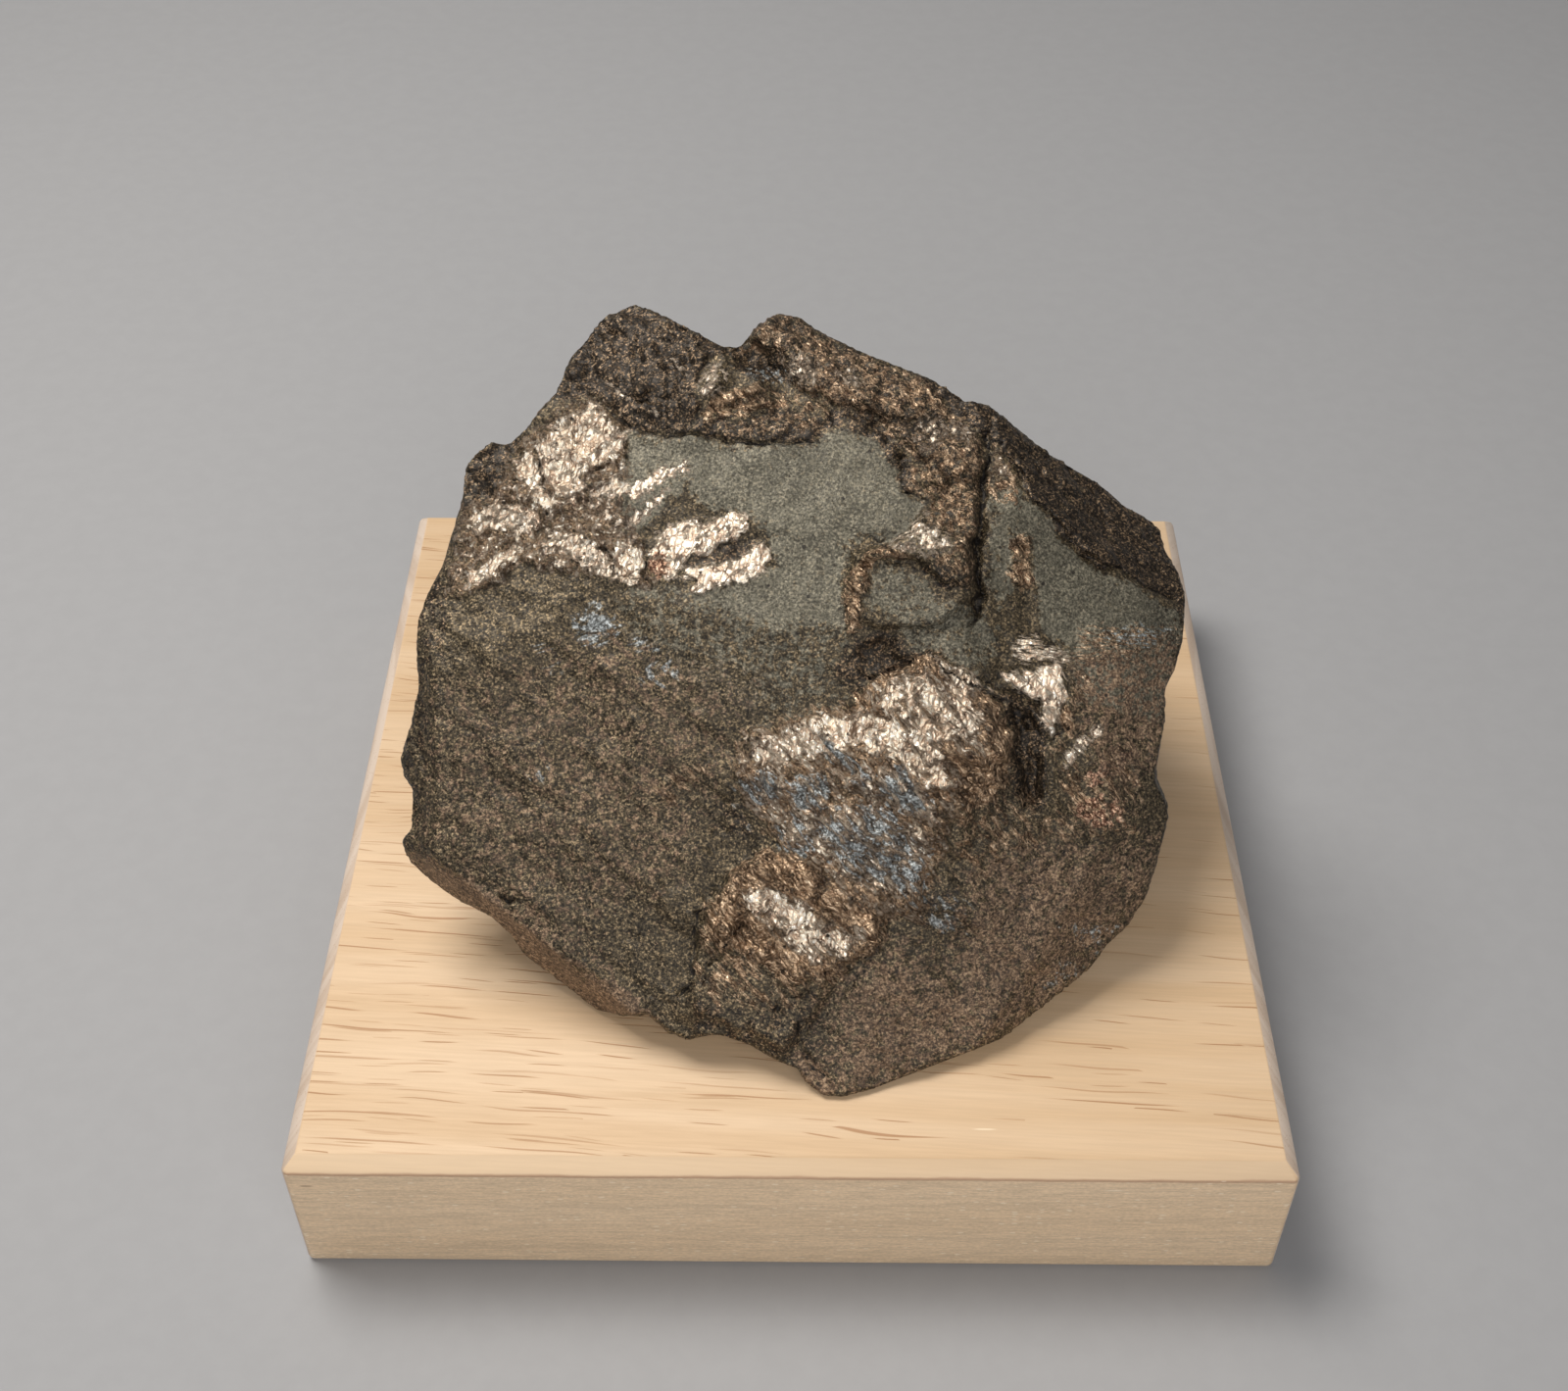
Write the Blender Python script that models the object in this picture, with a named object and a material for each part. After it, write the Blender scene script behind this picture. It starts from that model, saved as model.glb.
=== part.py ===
"""A broken lump of renierite on a square wooden display block.

Metres, +Z up. The origin is the middle of the block's underside, and the block's front is at -Y.
The stone is the part of a tapering slab, whose outline is the edge of its broken face, that lies
inside a block knapped by flat facets.
"""

import math

import bmesh
import bpy
from mathutils import Matrix, Vector

MM = 0.001

# The wooden block
BLOCK_SIDE = 100 * MM
BLOCK_HEIGHT = 18 * MM
BLOCK_CHAMFER = 1.5 * MM
BLOCK_ARRIS_RADIUS = 0.7 * MM
BLOCK_ARRIS_SEGMENTS = 3
BLOCK_COLOUR = (0.78, 0.60, 0.36)
BLOCK_ROUGHNESS = 0.6

# The stone rests on the block with a hair's gap
REST_GAP = 0.3 * MM
STONE_COLOUR = (0.10, 0.075, 0.05)
STONE_ROUGHNESS = 0.45
STONE_METALLIC = 0.8

# The broken face looks up at the viewer: its middle, its lean back and its slight turn
FACE_MIDDLE = Vector((-0.84, -13.22, 46.58)) * MM
FACE_LEAN = math.radians(44.8)
FACE_TURN = math.radians(0.73)
EYE_DISTANCE = 203.8 * MM

# The slab that the outline cuts runs from just in front of the face to well behind the stone
SLAB_FRONT = 8 * MM
SLAB_BACK = -62 * MM
UNCUT_SIZE = 140 * MM
STONE_HEART = Vector((0, 0, 40)) * MM
NEAR_CORNERS = 0.1 * MM

# Edge of the broken face, clockwise from its lower left corner, in mm across and up the face
FACE_OUTLINE = (
    (-37.8, -16.6), (-38.4, -14.3), (-37.4, -13.3), (-37.2, -9.4), (-38.2, -7.9), (-38.5, -5.9),
    (-37.5, -3.0), (-36.6, 0.9), (-36.9, 4.9), (-36.6, 7.8), (-35.7, 10.3), (-34.2, 13.2),
    (-32.1, 20.1), (-31.8, 23.1), (-30.8, 24.3), (-29.2, 25.4), (-27.5, 25.2), (-25.6, 27.0),
    (-24.6, 28.5), (-22.6, 30.6), (-21.5, 33.6), (-19.4, 36.0), (-18.3, 37.7), (-16.3, 38.7),
    (-14.7, 39.4), (-11.8, 38.1), (-6.1, 35.0), (-4.3, 34.9), (-2.5, 37.2), (-0.5, 38.3),
    (1.6, 37.9), (4.0, 36.3), (7.9, 34.4), (14.8, 31.7), (18.2, 29.4), (20.6, 29.1),
    (26.7, 24.1), (31.8, 21.0), (34.4, 18.7), (37.2, 17.3), (38.2, 15.8), (38.1, 14.7),
    (39.7, 12.0), (40.3, 9.8), (40.0, 5.4), (39.2, 2.5), (38.2, 0.6), (38.2, -2.5),
    (37.3, -7.4), (37.3, -8.9), (38.3, -10.9), (38.5, -12.3), (37.4, -16.8), (36.2, -20.4),
    (34.4, -23.2), (32.3, -25.1), (29.3, -29.3), (26.5, -31.0), (22.9, -34.0), (19.7, -35.3),
    (10.8, -38.7), (7.1, -40.2), (5.7, -40.7), (3.7, -40.1), (2.0, -38.7), (1.2, -37.4),
    (-1.0, -36.5), (-3.4, -35.1), (-6.7, -33.9), (-9.9, -34.5), (-11.6, -33.7), (-13.9, -31.8),
    (-16.4, -32.0), (-19.7, -31.3), (-23.0, -28.9), (-26.2, -25.9), (-27.5, -23.8), (-29.5, -22.0),
    (-32.8, -20.4), (-35.0, -18.8),
)

# Facets of the broken face, each through three points in mm across, up and out of the face
FACE_FACETS = {
    "large lower left face": ((-19.8, 8.8, -1.0), (-35.7, -7.0, -2.5), (3.0, -38.0, 0.5)),
    "slope below the left peak": ((-19.8, 8.9, -1.0), (-20.2, 30.1, -7.0), (-32.1, 12.0, -4.5)),
    "grey green facet": ((5.9, 10.8, 0.3), (-16.0, 27.0, -4.5), (11.4, 24.2, -2.0)),
    "left peak": ((-24.4, 30.5, -8.0), (-6.0, 33.3, -5.5), (-15.6, 44.1, -14.0)),
    "flaky band below the right peak": ((-4.0, 28.0, -4.0), (20.0, 21.0, -2.5), (9.0, 34.5, -7.0)),
    "dark band along the upper right": ((23.9, 22.1, -2.5), (34.2, 12.7, -4.4), (33.6, 22.2, -12.0)),
    "right shoulder": ((19.7, 6.8, 1.0), (26.0, 20.9, -3.0), (36.8, 11.2, -5.0)),
    "right edge": ((31.5, 2.9, -1.0), (39.3, -2.6, -6.0), (41.9, 8.6, -8.0)),
    "lower right face": ((5.7, -40.7, 0.6), (15.7, -18.7, 1.5), (37.8, -14.0, -3.0)),
    "lower right corner": ((30.0, -18.0, -1.5), (35.4, -24.0, -7.0), (24.0, -34.0, -4.0)),
    "rusty edge along the lower left": ((-32.4, -18.7, -2.3), (-19.7, -28.6, -1.4), (-27.5, -25.3, -6.0)),
    "left edge": ((-35.4, 1.9, -2.4), (-35.4, -8.9, -2.5), (-38.8, -6.5, -5.5)),
}

# Facets of the hidden sides and back, each through three points in mm, in the block's own axes
HIDDEN_FACETS = {
    "back below the peaks": ((-17.0, 27.4, 65.3), (-1.3, 23.1, 66.7), (-6.0, 38.0, 42.0)),
    "upper left back": ((-34.1, 11.2, 56.1), (-17.0, 28.9, 63.9), (-22.0, 34.0, 34.0)),
    "upper right back": ((32.6, 13.4, 51.6), (20.3, 16.8, 59.4), (22.0, 34.0, 32.0)),
    "lower back": ((-15.0, 37.0, 38.0), (15.0, 37.0, 38.0), (0.0, 27.0, 18.3)),
    "left side": ((-38.3, -1.2, 45.8), (-34.1, 12.6, 54.7), (-30.0, 24.0, 34.0)),
    "right side": ((38.7, 13.3, 46.4), (41.2, 5.0, 43.2), (30.0, 26.0, 32.0)),
    "left underside": ((-40.5, -12.0, 36.8), (-38.3, -1.9, 46.5), (-24.0, 4.0, 18.3)),
    "left front underside": ((-40.0, -18.0, 26.9), (-21.0, -31.1, 18.9), (-24.0, -5.0, 18.3)),
    "right underside": ((38.9, -16.1, 31.8), (41.2, 4.3, 43.9), (23.0, 4.0, 18.3)),
    "right front underside": ((34.8, -23.4, 23.0), (19.5, -35.5, 18.6), (16.0, -12.0, 18.3)),
    "left back corner": ((-13.2, 35.9, 43.5), (-4.2, 39.9, 43.5), (-12.3, 33.9, 29.0)),
    "ridge down the back": ((9.1, 28.0, 48.8), (16.1, 24.2, 48.8), (11.3, 32.1, 35.6)),
    "lower left back": ((-10.5, 31.7, 32.4), (-3.5, 35.6, 32.4), (-8.3, 27.7, 21.4)),
    "right back corner": ((24.3, 29.5, 30.2), (30.6, 24.5, 30.2), (22.9, 27.7, 21.5)),
    "ridge under the left side": ((-29.3, -5.7, 22.9), (-25.9, 3.7, 22.9), (-26.1, -6.9, 19.3)),
}


def clear_scene():
    """Removes every object that the startup file brought."""
    for thing in list(bpy.data.objects):
        bpy.data.objects.remove(thing, do_unlink=True)


def new_collection(name):
    """A collection in the scene, with this name."""
    collection = bpy.data.collections.new(name)
    bpy.context.scene.collection.children.link(collection)
    return collection


def new_material(name, colour, roughness, metallic):
    """A Principled material."""
    material = bpy.data.materials.new(name)
    material.use_nodes = True
    shader = material.node_tree.nodes["Principled BSDF"]
    shader.inputs["Base Color"].default_value = (*colour, 1.0)
    shader.inputs["Roughness"].default_value = roughness
    shader.inputs["Metallic"].default_value = metallic
    material.diffuse_color = (*colour, 1.0)
    return material


def new_object(name, bm, collection, material=None):
    """An object made from this bmesh, which is freed."""
    mesh = bpy.data.meshes.new(name)
    bmesh.ops.recalc_face_normals(bm, faces=bm.faces[:])
    bm.to_mesh(mesh)
    bm.free()
    if material:
        mesh.materials.append(material)
    thing = bpy.data.objects.new(name, mesh)
    collection.objects.link(thing)
    return thing


def make_block(collection):
    """The wooden board: a box with a mitred chamfer round its top and its other edges eased."""
    bm = bmesh.new()
    size = Matrix.Diagonal((BLOCK_SIDE, BLOCK_SIDE, BLOCK_HEIGHT, 1.0))
    place = Matrix.Translation((0, 0, BLOCK_HEIGHT / 2))
    bmesh.ops.create_cube(bm, size=1.0, matrix=place @ size)
    top = [edge for edge in bm.edges if min(vert.co.z for vert in edge.verts) > BLOCK_HEIGHT / 2]
    bmesh.ops.bevel(bm, geom=top, offset=BLOCK_CHAMFER, segments=1, affect="EDGES")
    foot = [edge for edge in bm.edges if min(vert.co.z for vert in edge.verts) < BLOCK_CHAMFER]
    bmesh.ops.bevel(
        bm,
        geom=foot,
        offset=BLOCK_ARRIS_RADIUS,
        segments=BLOCK_ARRIS_SEGMENTS,
        profile=0.5,
        affect="EDGES",
    )
    wood = new_material("pale_wood", BLOCK_COLOUR, BLOCK_ROUGHNESS, 0.0)
    return new_object("wooden_block", bm, collection, wood)


def face_axes():
    """Unit directions across, up and out of the broken face."""
    out = Vector(
        (
            math.sin(FACE_TURN) * math.cos(FACE_LEAN),
            -math.cos(FACE_TURN) * math.cos(FACE_LEAN),
            math.sin(FACE_LEAN),
        )
    )
    across = Vector((math.cos(FACE_TURN), math.sin(FACE_TURN), 0.0))
    return across, out.cross(across), out


def face_point(across, up, out):
    """The place in space of a point given in metres across, up and out of the face."""
    axes = face_axes()
    return FACE_MIDDLE + axes[0] * across + axes[1] * up + axes[2] * out


def slab_ring(out):
    """The face's outline at one depth, spread in line with the eye so that every depth looks alike."""
    spread = (EYE_DISTANCE - out) / EYE_DISTANCE
    return [face_point(across * MM * spread, up * MM * spread, out) for across, up in FACE_OUTLINE]


def make_slab(collection):
    """The tapering slab with the stone's outline, which only trims the knapped block."""
    bm = bmesh.new()
    front = [bm.verts.new(point) for point in slab_ring(SLAB_FRONT)]
    face = bm.faces.new(front)
    grown = bmesh.ops.extrude_face_region(bm, geom=[face], use_keep_orig=True)
    back = [item for item in grown["geom"] if isinstance(item, bmesh.types.BMVert)]
    bm.verts.index_update()
    eye = face_point(0, 0, EYE_DISTANCE)
    stretch = (EYE_DISTANCE - SLAB_BACK) / (EYE_DISTANCE - SLAB_FRONT)
    for vert in back:
        vert.co = eye + (vert.co - eye) * stretch
    slab = new_object("face_outline", bm, collection)
    slab.hide_render = True
    slab.display_type = "WIRE"
    return slab


def cut_away(bm, point, outward):
    """Removes what lies beyond a plane and closes the cut with one flat facet."""
    everything = bm.verts[:] + bm.edges[:] + bm.faces[:]
    cut = bmesh.ops.bisect_plane(
        bm, geom=everything, plane_co=point, plane_no=outward, clear_outer=True
    )
    rim = [item for item in cut["geom_cut"] if isinstance(item, bmesh.types.BMEdge)]
    bmesh.ops.contextual_create(bm, geom=rim)


def facet_plane(corners):
    """A point on the plane through three corners, and its normal away from the stone's heart."""
    first, second, third = corners
    outward = (second - first).cross(third - first).normalized()
    if outward.dot(first - STONE_HEART) < 0:
        outward.negate()
    return first, outward


def make_stone(collection, cutters):
    """The stone: a block knapped by its facets, flat where it rests, trimmed to its outline."""
    bm = bmesh.new()
    bmesh.ops.create_cube(bm, size=UNCUT_SIZE, matrix=Matrix.Translation(STONE_HEART))
    cut_away(bm, Vector((0, 0, BLOCK_HEIGHT + REST_GAP)), Vector((0, 0, -1)))
    for corners in HIDDEN_FACETS.values():
        cut_away(bm, *facet_plane([Vector(corner) * MM for corner in corners]))
    for corners in FACE_FACETS.values():
        placed = [face_point(*(value * MM for value in corner)) for corner in corners]
        cut_away(bm, *facet_plane(placed))
    sulphide = new_material("renierite", STONE_COLOUR, STONE_ROUGHNESS, STONE_METALLIC)
    stone = new_object("renierite", bm, collection, sulphide)
    trim = stone.modifiers.new("outline", "BOOLEAN")
    trim.operation = "INTERSECT"
    trim.solver = "EXACT"
    trim.object = make_slab(cutters)
    tidy = stone.modifiers.new("join near corners", "WELD")
    tidy.merge_threshold = NEAR_CORNERS
    return stone


def main():
    """Builds the block and the stone on it."""
    clear_scene()
    parts = new_collection("renierite_specimen")
    cutters = new_collection("cutters")
    cutters.hide_render = True
    make_block(parts)
    make_stone(parts, cutters)


main()
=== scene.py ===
"""Looks of a broken lump of bronze-brown ore that leans back on a square pale wooden board.

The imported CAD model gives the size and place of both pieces. The stone is remeshed finely, gets
the relief and the patches of its broken face, and then a grain of knobs, scoops and crystals. The
board gets softened edges. Sizes are in millimetres and become metres only in the meshes.
"""

from __future__ import annotations

import logging
import math
from dataclasses import dataclass, field
from enum import Enum, IntEnum

import bmesh
import bpy
import numpy as np
from bpy.types import Material, Mesh, Node, NodeSocket, NodeTree, Object
from mathutils import Matrix, Vector


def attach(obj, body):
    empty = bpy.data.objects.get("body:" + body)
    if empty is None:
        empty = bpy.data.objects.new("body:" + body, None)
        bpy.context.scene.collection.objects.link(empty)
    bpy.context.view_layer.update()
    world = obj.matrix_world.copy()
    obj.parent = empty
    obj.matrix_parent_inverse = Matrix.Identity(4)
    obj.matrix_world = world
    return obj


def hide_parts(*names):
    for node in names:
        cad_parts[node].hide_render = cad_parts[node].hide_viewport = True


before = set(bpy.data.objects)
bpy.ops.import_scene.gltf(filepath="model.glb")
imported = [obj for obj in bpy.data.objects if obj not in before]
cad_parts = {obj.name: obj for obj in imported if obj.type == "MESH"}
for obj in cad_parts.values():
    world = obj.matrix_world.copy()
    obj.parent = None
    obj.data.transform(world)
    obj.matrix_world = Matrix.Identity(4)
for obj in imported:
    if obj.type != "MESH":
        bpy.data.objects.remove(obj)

MM = 0.001
NUMBER = "NodeSocketFloat"
VECTOR = "NodeSocketVector"
# The even middle of a noise's colour, taken off so that it moves a vector every way
NOISE_MIDDLE = (0.5, 0.5, 0.5)
# What the darkest places of the stone turn to; the black is a painted shade in pits and cracks
SEAM_BROWN = (0.22, 0.14, 0.09)
LOBE_BROWN = (0.10, 0.065, 0.04)
PAINTED_SHADE_BLACK = (0.012, 0.009, 0.007)
# The shares that only the fracture grain reads, in the order in which they are written
ROUGHNESS = ("knobbly", "scooped", "grainy", "free_to_move")
Array = np.ndarray
Sockets = bpy.types.bpy_prop_collection
Colour = tuple[float, float, float]
Place = tuple[float, float, float]
Path = tuple[tuple[float, float], ...]
LOG = logging.getLogger("renierite")


class Finish(Enum):
    """The kinds of surface on the stone. Each is painted as a share from 0 to 1 at every point."""

    GREEN = "grey_green"
    # Dark bronze, and painted shade in the recess and notch by the lump and on the upper right
    # band
    DARK = "dark_bronze_and_shade"
    BRONZE = "bright_bronze"
    # Cream foil, its near-white colour partly a painted highlight of facets turned to the light
    FOIL_AND_HIGHLIGHT = "cream_foil_and_highlight"
    COPPER = "copper"
    BLUE = "blue_film"
    RUST = "rust"
    # Painted shade: the share that darkens cracks and grooves towards black
    CRACK_SHADE = "crack"


@dataclass(frozen=True)
class GrainFinish:
    """How one kind of surface looks, from its darkest grains to its brightest glints.

    Attributes:
        shades: colours of the dark, common, light and glinting grains.
        stops: where those colours stand between 0 and 1 of the grain's value.
        roughness: how dull the grains are.
        metallic: how much they shine like metal.
    """

    shades: tuple[Colour, Colour, Colour, Colour]
    stops: tuple[float, float, float, float]
    roughness: float
    metallic: float


@dataclass(frozen=True)
class Patch:
    """A patch of one finish on the broken face.

    Attributes:
        name: what it is on the stone.
        share: how much of that finish it has.
        edge: width over which it fades, in mm.
        outline: its corners, in mm across and up the face as the eye sees it.
    """

    name: str
    share: float
    edge: float
    outline: Path


@dataclass(frozen=True)
class Swell:
    """A part of the broken face that stands proud or is sunk.

    Attributes:
        name: what it is on the stone.
        height: how far it comes towards the eye in mm, negative for a hollow.
        rise: distance from its outline over which it reaches that height, in mm.
        outline: its corners, in mm across and up the face.
    """

    name: str
    height: float
    rise: float
    outline: Path


@dataclass(frozen=True)
class Crack:
    """A crack, groove or step's foot in the broken face, cut into the mesh and darkened with
    painted shade.

    Attributes:
        name: what it is on the stone.
        width: its width in mm.
        depth: its depth in mm, which also sets how dark its painted shade is.
        line: the points it runs through, in mm across and up the face.
    """

    name: str
    width: float
    depth: float
    line: Path


# The outlines that more than one patch or swell follows, in mm on the face as the eye sees it
FOIL_WEDGE: Path = (
    (-10.8, 12.7), (-9.4, 14.1), (-6.3, 15.3), (-1.8, 16.1), (-2.2, 15.1), (-5.9, 13.7),
    (-9.2, 12.5),
)
FOIL_BED: Path = (
    (-32.4, 18.6), (-29.5, 20.6), (-25.6, 26.5), (-19.7, 30.2), (-15.7, 27.5), (-15.7, 18.6),
    (-13.4, 14.7), (-13.4, 10.8), (-19.7, 12.2), (-25.6, 13.2), (-32.4, 9.8), (-33.9, 10.8),
)
RIGHT_PEAK: Path = (
    (-4.7, 34.2), (-2.4, 37.7), (0.6, 38.5), (5.9, 35.2), (10.8, 33.2), (14.7, 31.2), (18.2, 27.3),
    (20.1, 25.3), (19.7, 20.6), (15.7, 20.8), (12.8, 24.3), (9.0, 27.5), (4.9, 29.3), (1.2, 30.6),
    (-1.0, 34.4),
)
MIDDLE_ZONE: Path = (
    (-4.9, -7.9), (-3.7, -3.5), (6.1, -0.6), (14.7, -3.0), (18.2, -8.9), (15.7, -16.8),
    (13.8, -22.7), (7.9, -21.7), (2.0, -16.8), (-2.0, -13.8),
)
UPPER_FOIL: Path = (
    (-24.6, 25.9), (-23.4, 27.1), (-20.8, 28.9), (-19.5, 29.3), (-17.5, 27.9), (-15.5, 26.5),
    (-16.3, 24.9), (-17.5, 23.5), (-19.3, 23.0), (-20.3, 22.0), (-19.1, 21.4), (-19.9, 20.4),
    (-21.8, 20.0), (-23.4, 20.8), (-24.4, 22.6), (-25.0, 24.3),
)
FOIL_STRIPES: Path = (
    (-10.6, 11.6), (-9.6, 12.7), (-6.1, 13.5), (-3.1, 14.9), (-1.4, 15.1), (-1.0, 13.5),
    (-2.9, 12.1), (-6.1, 11.2), (-8.7, 10.0), (-9.6, 10.2), (-8.7, 11.4),
)
FOIL_BY_THE_LUMP: Path = (
    (22.0, 1.7), (24.2, 2.5), (27.9, 3.1), (28.3, 0.5), (27.5, -2.8), (26.5, -4.2), (25.8, -2.6),
    (25.4, -0.4), (23.6, 0.5),
)
DARK_BLUE: Path = (
    (-7.3, -11.1), (-5.5, -10.3), (-3.3, -12.8), (-3.1, -14.4), (-5.3, -14.0), (-7.1, -12.4),
)
LOW_BLUE: Path = (
    (11.8, -20.3), (16.7, -19.7), (19.7, -21.7), (18.7, -24.6), (13.8, -23.6),
)

# The patches of the broken face, in mm across and up it as the eye sees it
GREEN_PATCHES: tuple[Patch, ...] = (
    Patch("grey green facet", 1.0, 1.1, (
        (-16.1, 26.7), (-13.3, 25.8), (-9.8, 25.9), (-3.9, 24.9), (2.9, 25.1), (4.9, 26.7),
        (8.3, 26.5), (10.4, 24.3), (12.0, 22.8), (12.4, 20.0), (14.4, 19.4), (12.8, 16.7),
        (10.3, 15.1), (7.9, 16.1), (6.1, 14.7), (6.5, 8.8), (4.9, 6.8), (-1.0, 6.8), (-5.9, 8.3),
        (-9.8, 9.6), (-15.7, 10.2), (-15.7, 11.8), (-9.8, 10.2), (-1.0, 13.0), (-0.8, 15.9),
        (-3.5, 18.4), (-8.3, 18.6), (-9.6, 22.4), (-15.7, 22.4),
    )),
    Patch("grey green turning olive", 0.42, 4.0, (
        (-15.7, 10.8), (5.9, 10.8), (7.1, 5.9), (7.1, 0.9), (2.0, -2.0), (-5.9, -2.5),
        (-11.8, 0.9), (-15.7, 4.9),
    )),
    Patch("grey green under the peak notch", 0.9, 0.5, (
        (-20.1, 21.6), (-15.7, 23.0), (-9.8, 22.8), (-9.8, 20.6), (-13.8, 16.7), (-15.7, 14.7),
        (-18.5, 16.7), (-19.7, 19.4),
    )),
    Patch("grey green right shoulder", 1.0, 0.5, (
        (24.0, 20.6), (25.2, 19.4), (27.3, 16.1), (31.9, 12.5), (39.7, 8.2), (39.9, 5.9),
        (38.3, 0.9), (37.8, -3.0), (29.5, -1.0), (28.7, 4.9), (25.6, 6.8), (25.2, 14.7),
        (21.6, 18.6), (20.8, 20.6),
    )),
    Patch("grey green strip right of the groove", 0.8, 0.5, (
        (20.6, 20.6), (22.6, 20.1), (23.8, 16.7), (23.2, 10.8), (21.6, 8.8), (20.6, 10.8),
    )),
    Patch("grey green below the ledge", 0.75, 0.8, (
        (8.8, 13.2), (12.8, 12.2), (16.7, 9.3), (19.7, 8.3), (21.6, 6.8), (19.7, 1.9), (15.7, 4.1),
        (12.8, 2.9), (11.3, 6.8), (7.9, 8.8),
    )),
)
# Dark bronze; in the recess and notch by the lump, left of the groove and on the upper right band
# it is painted shade
DARK_AND_SHADE_PATCHES: tuple[Patch, ...] = (
    Patch("left peak", 1.0, 0.6, (
        (-25.6, 28.5), (-22.1, 32.4), (-18.5, 38.1), (-14.7, 40.3), (-3.9, 35.3), (-7.9, 33.2),
        (-9.2, 31.2), (-8.3, 29.3), (-9.8, 26.1), (-15.7, 27.1), (-19.3, 30.0), (-22.6, 29.3),
    )),
    Patch("knobbly strip", 0.85, 0.5, (
        (-9.8, 26.1), (-8.3, 28.0), (-3.9, 27.7), (-1.0, 29.4), (2.9, 28.0), (6.9, 29.3),
        (11.8, 25.5), (14.3, 20.6), (12.0, 20.6), (10.4, 24.3), (8.3, 26.5), (4.9, 26.7),
        (2.9, 25.3), (-3.9, 25.3),
    )),
    Patch("notch between the peaks", 0.9, 0.5, (
        (-5.4, 35.3), (-1.0, 34.8), (1.5, 31.9), (0.0, 30.8), (-2.9, 31.6), (-4.9, 33.2),
    )),
    # Partly painted shade, where the band faces away from the light
    Patch("upper right band", 1.0, 0.35, (
        (12.3, 34.2), (20.6, 30.4), (40.8, 16.7), (41.3, 4.9), (39.3, 9.6), (35.9, 11.0),
        (33.4, 12.4), (31.5, 13.2), (30.0, 14.5), (28.0, 15.9), (26.9, 16.6), (27.2, 17.3),
        (26.4, 18.6), (24.6, 20.3), (23.6, 21.8), (22.9, 23.4), (21.8, 25.0), (20.1, 26.1),
        (18.2, 27.3), (16.5, 28.9), (14.3, 30.8),
    )),
    Patch("upper left corner", 0.9, 0.5, (
        (-32.8, 23.5), (-30.9, 25.0), (-29.2, 25.9), (-26.0, 25.9), (-27.1, 23.5), (-28.1, 20.6),
        (-30.3, 19.4), (-32.4, 17.6),
    )),
    Patch("left margin", 0.45, 1.5, (
        (-39.3, 10.8), (-33.9, 14.7), (-32.4, 10.8), (-34.2, 4.9), (-34.4, -5.0), (-35.4, -14.8),
        (-32.4, -17.7), (-39.3, -16.8),
    )),
    Patch("wedge between the foil stripes", 0.75, 0.25, FOIL_WEDGE),
    # Painted shade in the notch over the lump
    Patch("notch over the lump", 0.9, 0.8, (
        (7.1, 5.9), (10.3, 6.0), (13.8, 4.1), (11.6, 2.5), (9.0, 1.5), (7.3, 0.3), (4.9, 1.9),
    )),
    # Painted shade in the recess beside the lump
    Patch("recess beside the lump", 1.0, 0.8, (
        (20.6, 0.9), (23.6, 0.3), (26.2, -2.0), (26.5, -7.9), (26.2, -11.5), (24.0, -11.5),
        (22.6, -7.9), (23.0, -4.6), (22.0, -1.6),
    )),
    Patch("under the tongue", 0.5, 1.5, (
        (-9.8, -29.1), (-3.9, -31.5), (4.9, -29.5), (4.9, -39.4), (0.0, -37.4), (-9.8, -34.5),
    )),
    Patch("field below the foil", 0.22, 4.0, (
        (-34.4, -14.8), (-23.6, -12.8), (-9.8, -14.8), (-9.8, -32.5), (-23.6, -28.6),
        (-34.4, -18.7),
    )),
    Patch("shadow left of the groove", 0.75, 0.8, (
        (18.2, 23.5), (20.1, 22.6), (19.5, 10.8), (15.7, 10.2), (13.8, 12.7), (17.2, 14.7),
        (15.7, 17.6), (13.8, 20.6), (15.7, 20.6),
    )),
    Patch("dark ground of the right peak", 0.9, 0.8, RIGHT_PEAK),
    Patch("dark ground of the dark blue", 0.7, 1.0, DARK_BLUE),
    Patch("dark ground of the low blue", 0.6, 1.2, LOW_BLUE),
)
RUST_PATCHES: tuple[Patch, ...] = (
    Patch("lower right face", 0.7, 4.0, (
        (19.7, -16.8), (25.6, -14.8), (38.3, -14.8), (37.4, -21.7), (25.6, -34.5), (5.9, -41.3),
        (3.9, -34.5), (4.9, -28.6), (10.3, -25.1), (15.7, -27.1),
    )),
    Patch("brown right edge", 0.6, 2.0, (
        (29.0, 3.7), (34.4, 4.7), (40.8, 5.4), (41.5, -7.9), (32.4, -8.9), (29.5, -3.0),
    )),
    Patch("brown wash below the grey green", 0.34, 3.0, (
        (-35.4, 0.9), (-17.7, 6.8), (-2.0, 1.9), (-9.8, -18.7), (-23.6, -24.6), (-36.4, -14.8),
    )),
    Patch("rusty edge", 1.0, 0.9, (
        (-38.3, -15.4), (-35.8, -16.4), (-31.5, -18.7), (-27.5, -21.5), (-24.4, -23.3),
        (-20.6, -27.6), (-15.7, -29.7), (-13.0, -31.9), (-15.7, -34.1), (-23.6, -30.5),
        (-29.5, -23.6), (-38.3, -18.7),
    )),
    Patch("rust by the tip", 0.9, 0.8, (
        (1.2, -35.4), (2.9, -36.2), (5.1, -38.8), (6.1, -41.3), (3.9, -41.3), (1.0, -38.4),
    )),
    Patch("rust stain", 0.45, 2.0, (
        (-32.4, -18.7), (-25.6, -18.7), (-19.7, -24.6), (-15.7, -28.6), (-23.6, -24.6),
        (-29.5, -21.7),
    )),
)
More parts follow.
